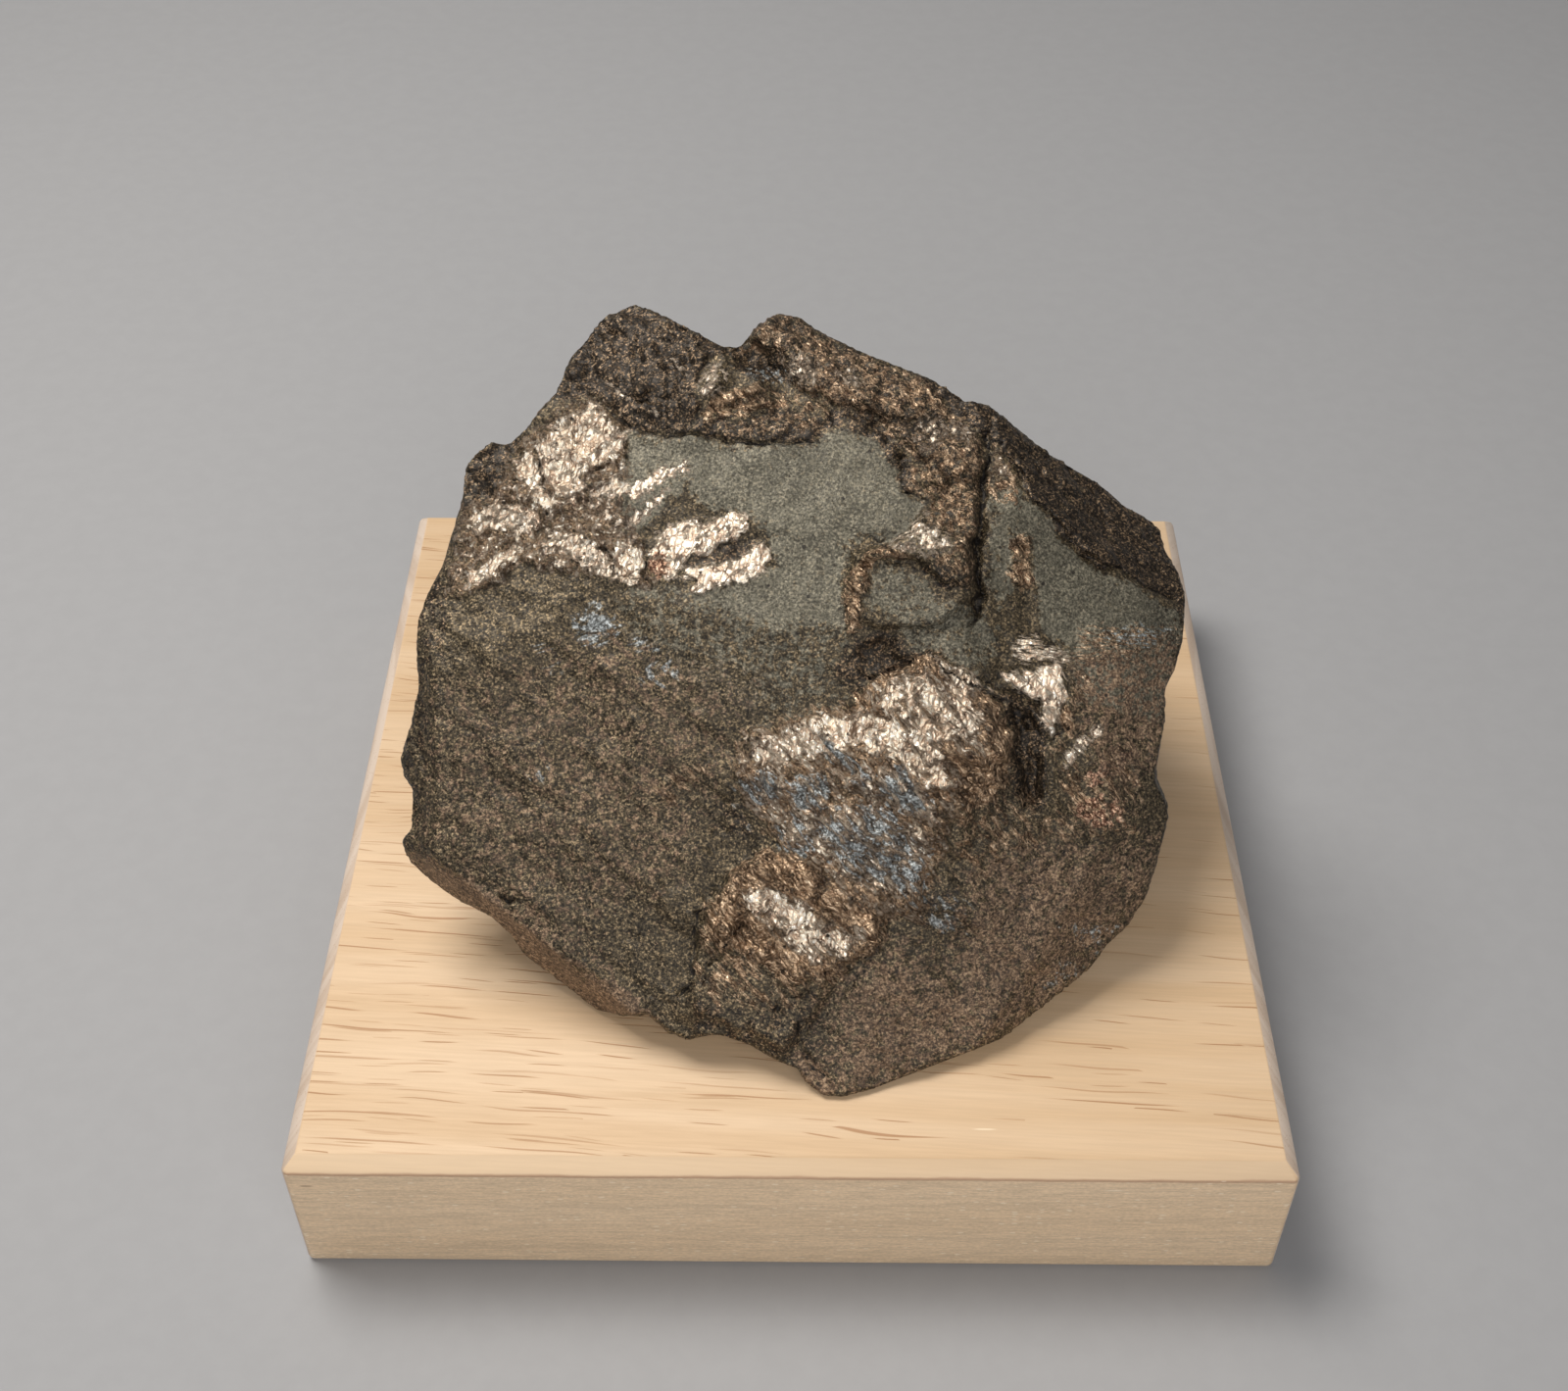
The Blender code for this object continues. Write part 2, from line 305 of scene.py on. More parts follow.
BRONZE_PATCHES: tuple[Patch, ...] = (
    Patch("bronze behind the foil", 0.8, 0.8, FOIL_BED),
    Patch("bronze flakes along the right peak", 0.5, 0.6, RIGHT_PEAK),
    Patch("bronze knobs", 0.36, 0.6, (
        (-8.3, 28.5), (-6.9, 29.9), (-1.0, 30.9), (4.9, 29.4), (3.9, 26.5), (-3.9, 26.0),
    )),
    Patch("pinkish patch right of the nub", 0.75, 0.5, (
        (-6.4, 30.6), (-2.9, 31.2), (0.0, 29.6), (0.5, 28.5), (-2.5, 28.9), (-5.9, 28.0),
        (-7.4, 27.3), (-7.7, 28.7),
    )),
    Patch("bronze below the flakes", 0.5, 0.8, (
        (12.3, 24.5), (19.7, 23.5), (19.7, 20.6), (19.5, 10.8), (14.7, 13.7), (14.3, 19.1),
        (12.3, 20.6),
    )),
    Patch("bronze ledge line", 0.75, 0.35, (
        (6.1, 8.8), (6.5, 11.8), (8.3, 14.1), (10.3, 15.1), (13.8, 14.1), (9.8, 13.3), (8.3, 11.8),
        (7.5, 6.8), (6.1, 5.9),
    )),
    Patch("bronze right of the groove", 0.6, 0.4, (
        (20.8, 25.5), (22.0, 24.7), (23.2, 21.6), (24.0, 18.6), (21.6, 19.6), (20.1, 21.0),
    )),
    Patch("bronze stripe", 0.75, 0.35, (
        (23.2, 16.1), (25.0, 16.1), (25.2, 10.2), (23.6, 10.4), (22.6, 12.7),
    )),
    Patch("lump", 1.0, 1.0, (
        (7.5, 0.5), (9.8, 2.3), (14.7, 4.3), (18.7, 1.9), (21.2, -0.4), (23.0, -4.6), (22.6, -8.9),
        (19.7, -11.8), (15.7, -11.8), (9.8, -8.9), (5.9, -5.0),
    )),
    Patch("below the lump", 0.45, 2.5, (
        (15.7, -8.9), (24.6, -9.9), (30.5, -13.8), (25.6, -15.8), (19.7, -18.7), (15.7, -16.8),
    )),
    Patch("middle zone", 0.85, 1.2, MIDDLE_ZONE),
    Patch("tongue", 1.0, 0.8, (
        (-5.7, -17.6), (-1.0, -15.0), (4.9, -17.7), (10.3, -21.7), (9.8, -25.1), (6.9, -26.6),
        (4.9, -28.6), (0.0, -29.2), (-3.9, -26.1), (-8.3, -24.6), (-8.3, -21.2), (-6.4, -19.7),
    )),
    Patch("lower tongue", 0.35, 0.8, (
        (-9.3, -28.6), (-8.3, -23.6), (4.9, -27.6), (3.9, -30.5), (-1.0, -31.9), (-7.9, -31.5),
    )),
    Patch("bronze right edge", 0.5, 1.0, (
        (29.5, 6.8), (40.1, 6.8), (39.3, 4.9), (31.5, 1.9), (27.5, -6.9), (35.4, -5.0),
        (35.9, -13.8), (28.5, -13.8), (27.0, -5.0), (28.5, 2.9),
    )),
    Patch("small warm patch", 0.5, 1.0, (
        (-13.8, -8.9), (-10.8, -6.9), (-7.9, -7.3), (-9.8, -9.9), (-12.8, -11.8),
    )),
)
# Partly the foil's own colour, partly a painted highlight where facets turn up to the light
FOIL_AND_HIGHLIGHT_PATCHES: tuple[Patch, ...] = (
    Patch("foil between its lobes", 0.44, 1.2, FOIL_BED),
    Patch("cream streaks of the middle zone", 0.36, 1.5, MIDDLE_ZONE),
    Patch("upper foil", 0.95, 0.6, UPPER_FOIL),
    Patch("left foil", 0.9, 0.6, (
        (-26.9, 23.2), (-26.0, 24.5), (-25.0, 23.7), (-24.2, 21.6), (-23.0, 19.8), (-22.4, 19.2),
        (-24.0, 18.2), (-24.8, 19.4), (-25.6, 20.6), (-26.5, 21.6),
    )),
    Patch("lower left foil", 0.85, 0.6, (
        (-32.1, 16.5), (-31.3, 18.4), (-29.5, 19.6), (-27.5, 19.4), (-25.6, 19.2), (-24.4, 17.6),
        (-25.0, 15.9), (-26.5, 16.1), (-28.3, 16.9), (-30.1, 16.5),
    )),
    Patch("foil line", 0.95, 0.25, (
        (-31.9, 10.8), (-31.3, 12.7), (-29.1, 14.0), (-26.7, 15.2), (-26.0, 14.7), (-28.7, 13.1),
        (-30.7, 11.4),
    )),
    Patch("foil flakes", 0.85, 0.25, (
        (-24.0, 16.7), (-20.1, 16.3), (-18.5, 15.5), (-17.3, 13.3), (-16.7, 11.8), (-19.3, 12.3),
        (-21.2, 13.7), (-23.6, 14.5),
    )),
    Patch("foil blob", 1.0, 0.25, (
        (-17.1, 15.1), (-15.3, 15.5), (-13.8, 14.1), (-14.0, 12.7), (-15.5, 11.2), (-16.7, 11.9),
        (-17.3, 13.5),
    )),
    Patch("foil plate", 0.95, 0.35, (
        (-13.4, 14.7), (-12.6, 15.9), (-10.8, 17.1), (-8.7, 17.6), (-8.5, 16.1), (-9.2, 14.1),
        (-10.6, 12.3), (-12.0, 11.8), (-13.4, 12.5),
    )),
    Patch("foil plate's right half", 0.95, 0.35, (
        (-8.5, 16.7), (-7.1, 17.5), (-5.1, 18.4), (-3.5, 18.0), (-3.7, 16.3), (-5.9, 15.3),
        (-7.7, 14.5), (-9.2, 14.1),
    )),
    Patch("foil stripes", 0.95, 0.35, FOIL_STRIPES),
    Patch("foil streak by the notch", 0.9, 0.2, (
        (-19.5, 20.6), (-17.7, 21.4), (-15.5, 21.8), (-15.7, 20.6), (-17.9, 20.0), (-19.5, 19.8),
    )),
    Patch("foil streak up right", 0.8, 0.25, (
        (-15.7, 20.6), (-13.0, 22.4), (-9.6, 23.4), (-9.4, 22.6), (-12.2, 21.2), (-14.9, 19.4),
    )),
    Patch("foil streak down left", 0.8, 0.25, (
        (-17.5, 16.3), (-15.3, 17.8), (-13.4, 19.8), (-11.4, 20.8), (-12.2, 19.2), (-14.7, 17.1),
        (-16.9, 15.5),
    )),
    Patch("nub", 0.45, 0.5, (
        (-8.7, 31.2), (-7.9, 32.8), (-6.5, 33.6), (-5.5, 32.6), (-5.7, 30.6), (-6.9, 29.6),
        (-8.1, 29.8),
    )),
    Patch("foil on the right peak", 0.5, 0.8, (
        (-0.4, 34.0), (2.2, 34.6), (3.5, 32.4), (2.6, 30.6), (0.6, 31.6),
    )),
    Patch("foil along the flakes", 0.5, 0.5, (
        (5.1, 32.4), (7.1, 32.8), (8.3, 31.2), (6.5, 31.0),
    )),
    Patch("foil under the dark band", 0.45, 0.8, (
        (12.0, 27.9), (14.7, 28.1), (17.3, 27.7), (19.3, 25.9), (18.7, 24.9), (16.1, 25.5),
        (14.2, 24.3), (12.4, 25.9),
    )),
    Patch("bright ledge", 0.55, 0.4, (
        (10.2, 14.9), (12.4, 16.7), (14.2, 18.6), (15.1, 17.1), (17.7, 15.9), (16.7, 14.5),
        (13.6, 13.9),
    )),
    Patch("light triangle", 0.4, 0.5, (
        (20.6, 25.3), (21.8, 24.5), (22.6, 22.4), (21.0, 21.6), (20.3, 22.6),
    )),
    Patch("foil right of the lump", 0.9, 0.6, FOIL_BY_THE_LUMP),
    Patch("foil above it", 0.62, 0.5, (
        (22.6, 4.1), (23.6, 5.7), (25.4, 5.9), (26.2, 4.5), (27.9, 4.9), (29.1, 4.1), (28.3, 2.9),
        (25.8, 3.5), (24.0, 3.3),
    )),
    Patch("lump's crest", 0.8, 0.5, (
        (14.7, 3.9), (16.9, 2.9), (19.9, 1.5), (20.6, 0.5), (18.1, 0.7), (15.7, 1.9),
    )),
    Patch("cream on the lump", 0.75, 1.2, (
        (8.3, 0.5), (12.8, 2.5), (17.7, 0.9), (20.3, -2.0), (19.7, -5.9), (14.7, -5.0),
        (9.8, -2.0),
    )),
    Patch("cream middle", 0.85, 0.7, (
        (-3.9, -6.5), (-3.5, -4.2), (0.0, -3.2), (4.9, -1.8), (9.8, -1.4), (13.8, -3.4),
        (16.3, -6.5), (16.9, -8.9), (14.2, -8.9), (11.3, -6.9), (7.9, -5.2), (4.9, -6.1),
        (2.0, -6.5), (-1.0, -7.3),
    )),
    Patch("cream on the tongue", 0.85, 1.2, (
        (-3.9, -18.7), (0.0, -19.7), (4.9, -22.7), (7.9, -24.6), (5.9, -26.6), (2.9, -27.1),
        (-1.0, -23.6), (-4.3, -21.2),
    )),
    Patch("gold streak", 0.6, 0.4, (
        (27.5, -6.1), (29.3, -4.6), (31.5, -3.0), (31.9, -4.0), (29.9, -5.9), (28.1, -7.1),
    )),
    Patch("bright streak on the peak", 0.42, 0.25, (
        (-18.5, 31.4), (-16.5, 29.8), (-14.2, 29.0), (-16.1, 30.5),
    )),
    Patch("bright streak below it", 0.42, 0.25, (
        (-14.6, 29.2), (-13.1, 28.1), (-11.4, 27.8), (-12.8, 28.8),
    )),
    Patch("bright streak by the nub", 0.42, 0.25, (
        (-12.0, 34.4), (-11.0, 32.8), (-9.4, 31.8), (-10.4, 33.4),
    )),
)
COPPER_PATCHES: tuple[Patch, ...] = (
    Patch("pink streak", 0.7, 0.5, (
        (30.1, -8.9), (32.4, -6.9), (35.4, -4.8), (36.2, -5.6), (33.4, -7.9), (31.3, -9.5),
    )),
    Patch("copper knobs", 0.55, 1.0, (
        (28.5, -10.9), (31.5, -10.1), (34.2, -10.7), (34.0, -12.6), (31.7, -13.4), (29.1, -12.4),
    )),
    Patch("copper edge of the foil", 1.0, 0.25, (
        (-13.6, 12.3), (-13.4, 13.9), (-12.4, 14.5), (-11.4, 13.9), (-11.6, 12.3), (-12.6, 11.6),
    )),
)
BLUE_PATCHES: tuple[Patch, ...] = (
    Patch("blue patch", 0.78, 1.3, (
        (-20.8, 7.8), (-19.1, 8.8), (-17.1, 8.2), (-16.5, 6.8), (-17.5, 5.3), (-19.7, 4.9),
        (-20.6, 6.2),
    )),
    Patch("blue below it", 0.62, 1.1, (
        (-15.7, 5.7), (-13.0, 5.9), (-12.8, 4.5), (-14.7, 4.5),
    )),
    Patch("blue spot", 0.6, 1.1, (
        (-14.6, 2.5), (-11.8, 3.3), (-10.8, 1.9), (-12.2, 0.3), (-14.2, 0.9),
    )),
    Patch("faint blue", 0.38, 1.5, (
        (-25.1, 5.3), (-22.6, 4.5), (-22.4, 1.9), (-24.0, 2.5),
    )),
    Patch("faint blue low", 0.41, 1.3, (
        (-25.8, -7.5), (-23.6, -6.9), (-23.0, -8.5), (-25.0, -8.9),
    )),
    Patch("dark blue", 0.2, 1.1, DARK_BLUE),
    Patch("blue in the middle", 0.62, 1.0, (
        (-4.7, -8.9), (-2.4, -7.9), (0.0, -8.3), (-0.2, -10.1), (-2.4, -11.1), (-4.1, -10.3),
    )),
    Patch("blue right of it", 0.58, 1.1, (
        (0.6, -8.9), (2.6, -7.9), (4.5, -8.9), (4.1, -10.9), (1.8, -11.7), (0.6, -10.5),
    )),
    Patch("blue stripe", 0.55, 1.0, (
        (3.5, -4.2), (5.1, -4.8), (7.9, -7.5), (9.8, -8.9), (8.3, -9.5), (5.5, -7.1), (3.9, -5.6),
    )),
    Patch("blue on the right", 0.66, 1.1, (
        (9.4, -8.1), (11.8, -7.5), (14.6, -10.5), (14.4, -12.4), (11.6, -11.3), (9.8, -9.7),
    )),
    Patch("blue mixed in", 0.48, 1.5, (
        (-1.0, -12.8), (4.9, -11.5), (9.8, -10.9), (14.7, -14.8), (13.8, -19.7), (9.8, -19.7),
        (4.9, -16.8), (0.0, -15.4),
    )),
    Patch("dark blue low", 0.26, 1.7, LOW_BLUE),
    Patch("blue on the edge", 0.64, 1.1, (
        (27.5, -23.6), (30.5, -23.1), (33.4, -23.6), (31.5, -25.4), (28.5, -25.2),
    )),
    Patch("blue under it", 0.45, 1.3, (
        (24.6, -28.6), (28.5, -26.6), (30.5, -26.6), (27.5, -29.5),
    )),
    Patch("blue in the notch", 0.52, 1.0, (
        (-3.3, 32.6), (-1.0, 33.2), (0.6, 32.0), (-0.4, 31.0), (-2.8, 31.4),
    )),
    Patch("blue right", 0.41, 1.1, (
        (32.3, 5.9), (35.4, 7.2), (39.3, 6.8), (37.4, 5.3), (33.8, 4.7),
    )),
)
PATCHES: dict[Finish, tuple[Patch, ...]] = {
    Finish.GREEN: GREEN_PATCHES,
    Finish.DARK: DARK_AND_SHADE_PATCHES,
    Finish.RUST: RUST_PATCHES,
    Finish.BRONZE: BRONZE_PATCHES,
    Finish.FOIL_AND_HIGHLIGHT: FOIL_AND_HIGHLIGHT_PATCHES,
    Finish.COPPER: COPPER_PATCHES,
    Finish.BLUE: BLUE_PATCHES,
}

# Its raised and sunk parts
SWELLS: tuple[Swell, ...] = (
    Swell("lump", 2.2, 4.5, (
        (7.1, 0.3), (9.8, 2.3), (14.7, 4.5), (18.7, 2.1), (21.2, -0.2), (23.2, -3.8), (23.0, -8.9),
        (20.6, -13.8), (15.7, -16.8), (9.8, -13.8), (5.9, -6.9),
    )),
    Swell("lump's steep crest", 0.9, 0.9, (
        (7.9, 0.5), (11.8, 2.5), (14.7, 4.1), (19.7, 1.1), (22.0, -1.6), (23.0, -5.0),
        (21.6, -8.9), (15.7, -5.9), (9.8, -2.0),
    )),
    Swell("middle zone", 0.7, 2.5, MIDDLE_ZONE),
    Swell("tongue", 1.3, 2.0, (
        (-8.8, -21.7), (-5.7, -17.6), (-1.0, -15.0), (4.9, -16.8), (10.3, -21.7), (10.3, -25.1),
        (5.5, -29.0), (3.9, -32.5), (0.0, -36.4), (-9.8, -32.5), (-10.0, -28.6),
    )),
    Swell("recess beside the lump", -2.0, 1.6, (
        (22.4, -1.2), (24.0, -0.6), (26.0, -3.0), (26.5, -7.9), (26.2, -11.3), (24.0, -11.5),
        (23.0, -7.9),
    )),
    Swell("notch over the lump", -1.1, 1.6, (
        (6.9, 5.3), (9.8, 5.9), (13.4, 3.9), (11.6, 2.5), (9.0, 1.3), (7.1, 0.9),
    )),
    Swell("upper foil", 0.35, 0.35, UPPER_FOIL),
    Swell("foil plate", 0.4, 0.3, (
        (-13.4, 14.7), (-12.6, 15.9), (-10.8, 17.1), (-8.7, 17.6), (-8.5, 16.1), (-7.1, 17.5),
        (-5.1, 18.4), (-3.5, 18.0), (-3.7, 16.3), (-5.9, 15.3), (-9.2, 14.1), (-10.6, 12.3),
        (-12.0, 11.8), (-13.4, 12.5),
    )),
    Swell("foil stripes", 0.35, 0.3, FOIL_STRIPES),
    Swell("foil right of the lump", 0.5, 0.5, FOIL_BY_THE_LUMP),
    Swell("bright ledge", 0.9, 0.6, (
        (10.2, 14.9), (12.4, 16.7), (14.2, 18.6), (15.1, 17.1), (18.7, 15.9), (18.9, 10.8),
        (16.1, 10.8), (13.6, 13.5),
    )),
    Swell("plate left of the groove", 1.4, 1.0, (
        (6.5, 14.7), (10.3, 15.1), (14.2, 18.6), (19.7, 20.6), (19.7, 9.6), (15.7, 6.8),
        (9.8, 5.9), (7.1, 6.8), (6.1, 10.8),
    )),
    Swell("flakes along the right peak", 0.8, 1.2, (
        (-4.7, 34.2), (-2.4, 37.7), (0.6, 39.1), (5.9, 35.8), (10.8, 33.9), (14.7, 31.8),
        (18.2, 27.3), (20.1, 25.3), (19.7, 20.6), (15.7, 20.8), (12.8, 24.3), (9.0, 27.5),
        (4.9, 29.3), (1.2, 30.6), (-1.0, 34.4),
    )),
    Swell("nub", 1.2, 1.6, (
        (-9.0, 31.0), (-7.9, 33.0), (-6.3, 34.0), (-5.1, 32.6), (-5.5, 30.4), (-6.9, 29.3),
        (-8.5, 29.6),
    )),
    Swell("wedge between the foil stripes", -0.3, 0.3, FOIL_WEDGE),
    Swell("hollow between the peaks", -1.2, 1.6, (
        (-6.1, 36.3), (-2.9, 37.3), (0.0, 33.2), (1.0, 31.0), (-2.9, 31.2), (-5.7, 33.6),
    )),
)

# Its cracks and grooves
CRACKS: tuple[Crack, ...] = (
    Crack("groove", 0.7, 1.3, (
        (20.8, 26.5), (20.5, 24.3), (20.1, 22.2), (20.3, 20.6), (19.6, 17.6), (19.4, 14.7),
        (19.8, 10.8), (18.9, 8.8),
    )),
    Crack("groove's foot", 0.4, 0.8, (
        (20.0, 10.8), (19.7, 9.0), (18.5, 7.2),
    )),
    Crack("crack under the bright ledge", 0.2, 0.25, (
        (6.5, 16.9), (8.3, 15.9), (10.0, 14.7), (11.8, 14.1), (13.6, 14.1),
    )),
    Crack("crack below the plate", 0.2, 0.25, (
        (10.3, 13.5), (13.8, 12.5), (15.3, 11.2), (16.3, 10.0),
    )),
    Crack("lump's outer crack", 0.3, 0.8, (
        (8.3, 1.5), (11.6, 2.9), (14.6, 4.1), (15.9, 2.5), (18.1, 1.5), (20.6, 0.1), (22.4, -0.6),
        (23.6, -1.4), (24.6, -3.4),
    )),
    Crack("lump's inner crack", 0.25, 0.6, (
        (19.7, 1.5), (22.0, 0.5), (24.4, 0.1), (25.8, -1.4), (26.2, -4.2), (26.5, -6.9),
        (26.7, -9.5),
    )),
    Crack("crack over the foil", 0.22, 0.45, (
        (21.6, 2.5), (23.8, 2.9), (26.5, 3.3), (28.7, 2.5),
    )),
    Crack("recess wall", 0.35, 0.7, (
        (23.2, -1.0), (23.6, -4.0), (24.0, -7.9), (24.4, -11.3),
    )),
    Crack("crack up from the recess", 0.25, 0.5, (
        (25.6, -5.4), (27.1, -4.2), (28.5, -3.4),
    )),
    Crack("tongue's left ledge", 0.3, 0.8, (
        (-7.7, -20.7), (-8.8, -21.9), (-9.2, -24.1), (-8.7, -26.2), (-9.2, -28.6), (-10.2, -29.7),
    )),
    Crack("tongue's inner crack", 0.28, 0.7, (
        (-4.1, -22.7), (-4.9, -24.2), (-6.1, -25.6), (-7.7, -27.6), (-8.5, -28.8),
    )),
    Crack("tongue's branch", 0.22, 0.4, (
        (-4.3, -23.1), (-2.8, -22.7), (-1.6, -23.3),
    )),
    Crack("crack across the tip", 0.22, 0.5, (
        (-1.2, -31.7), (0.4, -30.7), (2.0, -29.9), (3.5, -30.1),
    )),
    Crack("deep notch", 0.3, 0.7, (
        (1.0, -32.9), (1.6, -35.1), (2.6, -37.0), (3.7, -38.0),
    )),
    Crack("hairline on the lower right", 0.22, 0.5, (
        (28.1, -15.0), (27.1, -16.4), (25.8, -17.7), (24.2, -18.9), (23.2, -21.7), (21.8, -23.3),
    )),
    Crack("hairline by the tongue", 0.22, 0.4, (
        (9.8, -25.2), (8.1, -27.6), (6.1, -29.5), (5.5, -30.9),
    )),
    Crack("gap left of the foil plate", 0.3, 0.7, (
        (-13.8, 15.5), (-13.6, 13.5), (-14.2, 11.9), (-13.4, 10.8),
    )),
    Crack("gap right of the upper foil", 0.25, 0.5, (
        (-20.6, 16.7), (-18.1, 14.7), (-16.9, 13.5), (-17.3, 11.8),
    )),
    Crack("crack beside the left foil", 0.3, 0.7, (
        (-24.8, 24.3), (-24.4, 22.0), (-23.4, 19.8),
    )),
    Crack("knobbly strip's lower edge", 0.35, 0.6, (
        (-9.8, 25.9), (-5.9, 25.5), (-2.9, 24.9), (0.0, 25.3), (3.4, 25.3),
    )),
    Crack("left peak's foot", 0.3, 0.6, (
        (-19.7, 30.0), (-15.7, 27.5), (-11.8, 25.9), (-9.8, 25.9),
    )),
    Crack("dark band's edge", 0.3, 0.7, (
        (20.1, 26.1), (21.8, 25.0), (22.9, 23.4), (24.6, 20.3), (26.4, 18.6), (27.5, 16.7),
        (30.0, 14.5), (33.4, 12.4), (39.3, 9.6),
    )),
    Crack("step beside the grey green facet", 0.3, 0.8, (
        (12.0, 24.3), (11.8, 22.6), (12.2, 20.6), (14.4, 19.4),
    )),
    Crack("small line in the field", 0.25, 0.4, (
        (-27.1, -4.6), (-24.8, -4.3), (-23.0, -4.4),
    )),
    Crack("spot by the rusty edge", 0.45, 0.9, (
        (-28.3, -20.3), (-27.7, -21.1), (-27.1, -20.5),
    )),
    Crack("crack in the foil", 0.2, 0.5, (
        (-17.5, 23.2), (-19.3, 22.6), (-20.1, 21.6), (-19.3, 20.8),
    )),
    Crack("crack on the left peak", 0.22, 0.5, (
        (-19.3, 32.0), (-17.7, 31.2), (-15.7, 30.0), (-13.0, 28.7),
    )),
)


def smooth_step(values: Array, low: float, high: float) -> Array:
    """An eased ramp from 0 at low to 1 at high.

    Args:
        values: any numbers.
        low: value that gives 0.
        high: value that gives 1.

    Returns:
        The eased numbers.
    """
    share = np.clip((values - low) / (high - low), 0.0, 1.0)
    return share * share * (3.0 - 2.0 * share)


def lattice_value(cells: Array, seed: int) -> Array:
    """A repeatable random number between -1 and 1 for each whole-number place.

    Args:
        cells: rows of three whole numbers.
        seed: another seed gives other numbers.

    Returns:
        One number for each row.
    """
    cells = cells.astype(np.uint64)
    mixed = cells[:, 0] * np.uint64(73856093) ^ cells[:, 1] * np.uint64(19349663)
    mixed ^= cells[:, 2] * np.uint64(83492791) ^ np.uint64(seed * 2654435761)
    mixed = (mixed ^ (mixed >> np.uint64(15))) * np.uint64(2246822519)
    mixed = (mixed ^ (mixed >> np.uint64(13))) & np.uint64(0xFFFFFF)
    return mixed.astype(float) / float(0x7FFFFF) - 1.0


def soft_noise(points: Array, size: float, seed: int, octaves: int = 2) -> Array:
    """Smooth noise between about -1 and 1.

    Args:
        points: rows of three coordinates in mm.
        size: width of the broadest bumps in mm.
        seed: another seed gives another pattern.
        octaves: how many finer layers are summed.

    Returns:
        One number for each point.
    """
    total = np.zeros(len(points))
    for octave in range(octaves):
        grid = points * (2.0**octave / size) + 1000.0
        cell = np.floor(grid)
        part = grid - cell
        part = part * part * (3.0 - 2.0 * part)
        for corner in range(8):
            step = np.array([(corner >> axis) & 1 for axis in range(3)], float)
            weight = np.prod(np.where(step > 0, part, 1.0 - part), axis=1)
            total += weight * lattice_value(cell + step, seed + octave) * 0.5**octave
    return total


def streaked_noise(place: Array, angle: float, across: float, along: float, seed: int) -> Array:
    """Noise whose bumps are drawn out along one direction of the broken face.

    Args:
        place: points on the face, in mm.
        angle: direction in degrees, from the viewer's right towards up.
        across: width of a bump in mm.
        along: its length in mm.
        seed: seed of the pattern.

    Returns:
        Values between about -1 and 1.
    """
    turn = math.radians(angle)
    run = place[:, 0] * math.cos(turn) + place[:, 1] * math.sin(turn)
    side = place[:, 1] * math.cos(turn) - place[:, 0] * math.sin(turn)
    return soft_noise(np.column_stack((run * across / along, side, place[:, 2])), across, seed, 3)


def terraced(values: Array, levels: float) -> Array:
    """The values as steps, this many to 1, with steep risers between flat treads."""
    scaled = values * levels
    tread = np.floor(scaled)
    return (tread + smooth_step(scaled - tread, 0.6, 1.0)) / levels


def distance_to_line(spots: Array, line: Array) -> Array:
    """How far each spot is from a line through points.

    Args:
        spots: rows of two coordinates.
        line: the line's points, as rows of two coordinates.

    Returns:
        The distances.
    """
    best = np.full(len(spots), np.inf)
    for start, end in zip(line[:-1], line[1:]):
        along = end - start
        share = np.clip((spots - start) @ along / max(along @ along, 1e-9), 0.0, 1.0)
        gap = spots - start - share[:, None] * along
        best = np.minimum(best, np.einsum("ij,ij->i", gap, gap))
    return np.sqrt(best)


def depth_inside(spots: Array, outline: Path) -> Array:
    """How far each spot is inside a closed outline, negative outside it.

    Args:
        spots: rows of two coordinates.
        outline: the outline's corners.

    Returns:
        The signed distances.
    """
    corners = np.array(outline)
    ring = np.vstack((corners, corners[:1]))
    odd = np.zeros(len(spots), bool)
    for start, end in zip(ring[:-1], ring[1:]):
        spans = (start[1] > spots[:, 1]) != (end[1] > spots[:, 1])
        rise = end[1] - start[1] if end[1] != start[1] else 1e-9
        crossing = start[0] + (spots[:, 1] - start[1]) * (end[0] - start[0]) / rise
        odd ^= spans & (spots[:, 0] < crossing)
    return np.where(odd, 1.0, -1.0) * distance_to_line(spots, ring)


def near_path(spots: Array, path: Path, reach: float) -> Array:
    """Which points lie in the box about an outline or line, widened by this reach."""
    corners = np.array(path)
    low, high = corners.min(axis=0) - reach, corners.max(axis=0) + reach
    return np.nonzero(np.all((spots > low) & (spots < high), axis=1))[0]


@dataclass(frozen=True)
class BrokenFace:
    """The plane that the broken face lies in and the eye that looks squarely at it.

    Attributes:
        middle: the face's middle in mm.
        lean: how far the face looks up, in degrees.
        turn: how far it is turned about the upright, in degrees.
        eye_distance: from the face's middle to the eye, in mm.
    """

    middle: Place = (-0.84, -13.22, 46.58)
    lean: float = 44.8
    turn: float = 0.73
    eye_distance: float = 203.8

    def axes(self) -> Array:
        """Unit directions across, up and out of the face, as rows."""
        lean, turn = math.radians(self.lean), math.radians(self.turn)
        out = (math.sin(turn) * math.cos(lean), -math.cos(turn) * math.cos(lean), math.sin(lean))
        across = (math.cos(turn), math.sin(turn), 0.0)
        return np.array((across, np.cross(out, across), out))

    def from_world(self, points: Array) -> Array:
        """Places in mm turned to across, up and out of the face."""
        return (points - np.array(self.middle)) @ self.axes().T

    def seen(self, points: Array) -> Array:
        """Where the eye sees each place, on the plane through the face's middle."""
        placed = self.from_world(points)
        return placed[:, :2] * (self.eye_distance / (self.eye_distance - placed[:, 2]))[:, None]

    def to_eye(self, points: Array) -> Array:
        """Unit directions from each place to the eye."""
        eye = np.array(self.middle) + self.axes()[2] * self.eye_distance
        ray = eye - points
        return ray / np.linalg.norm(ray, axis=1)[:, None]


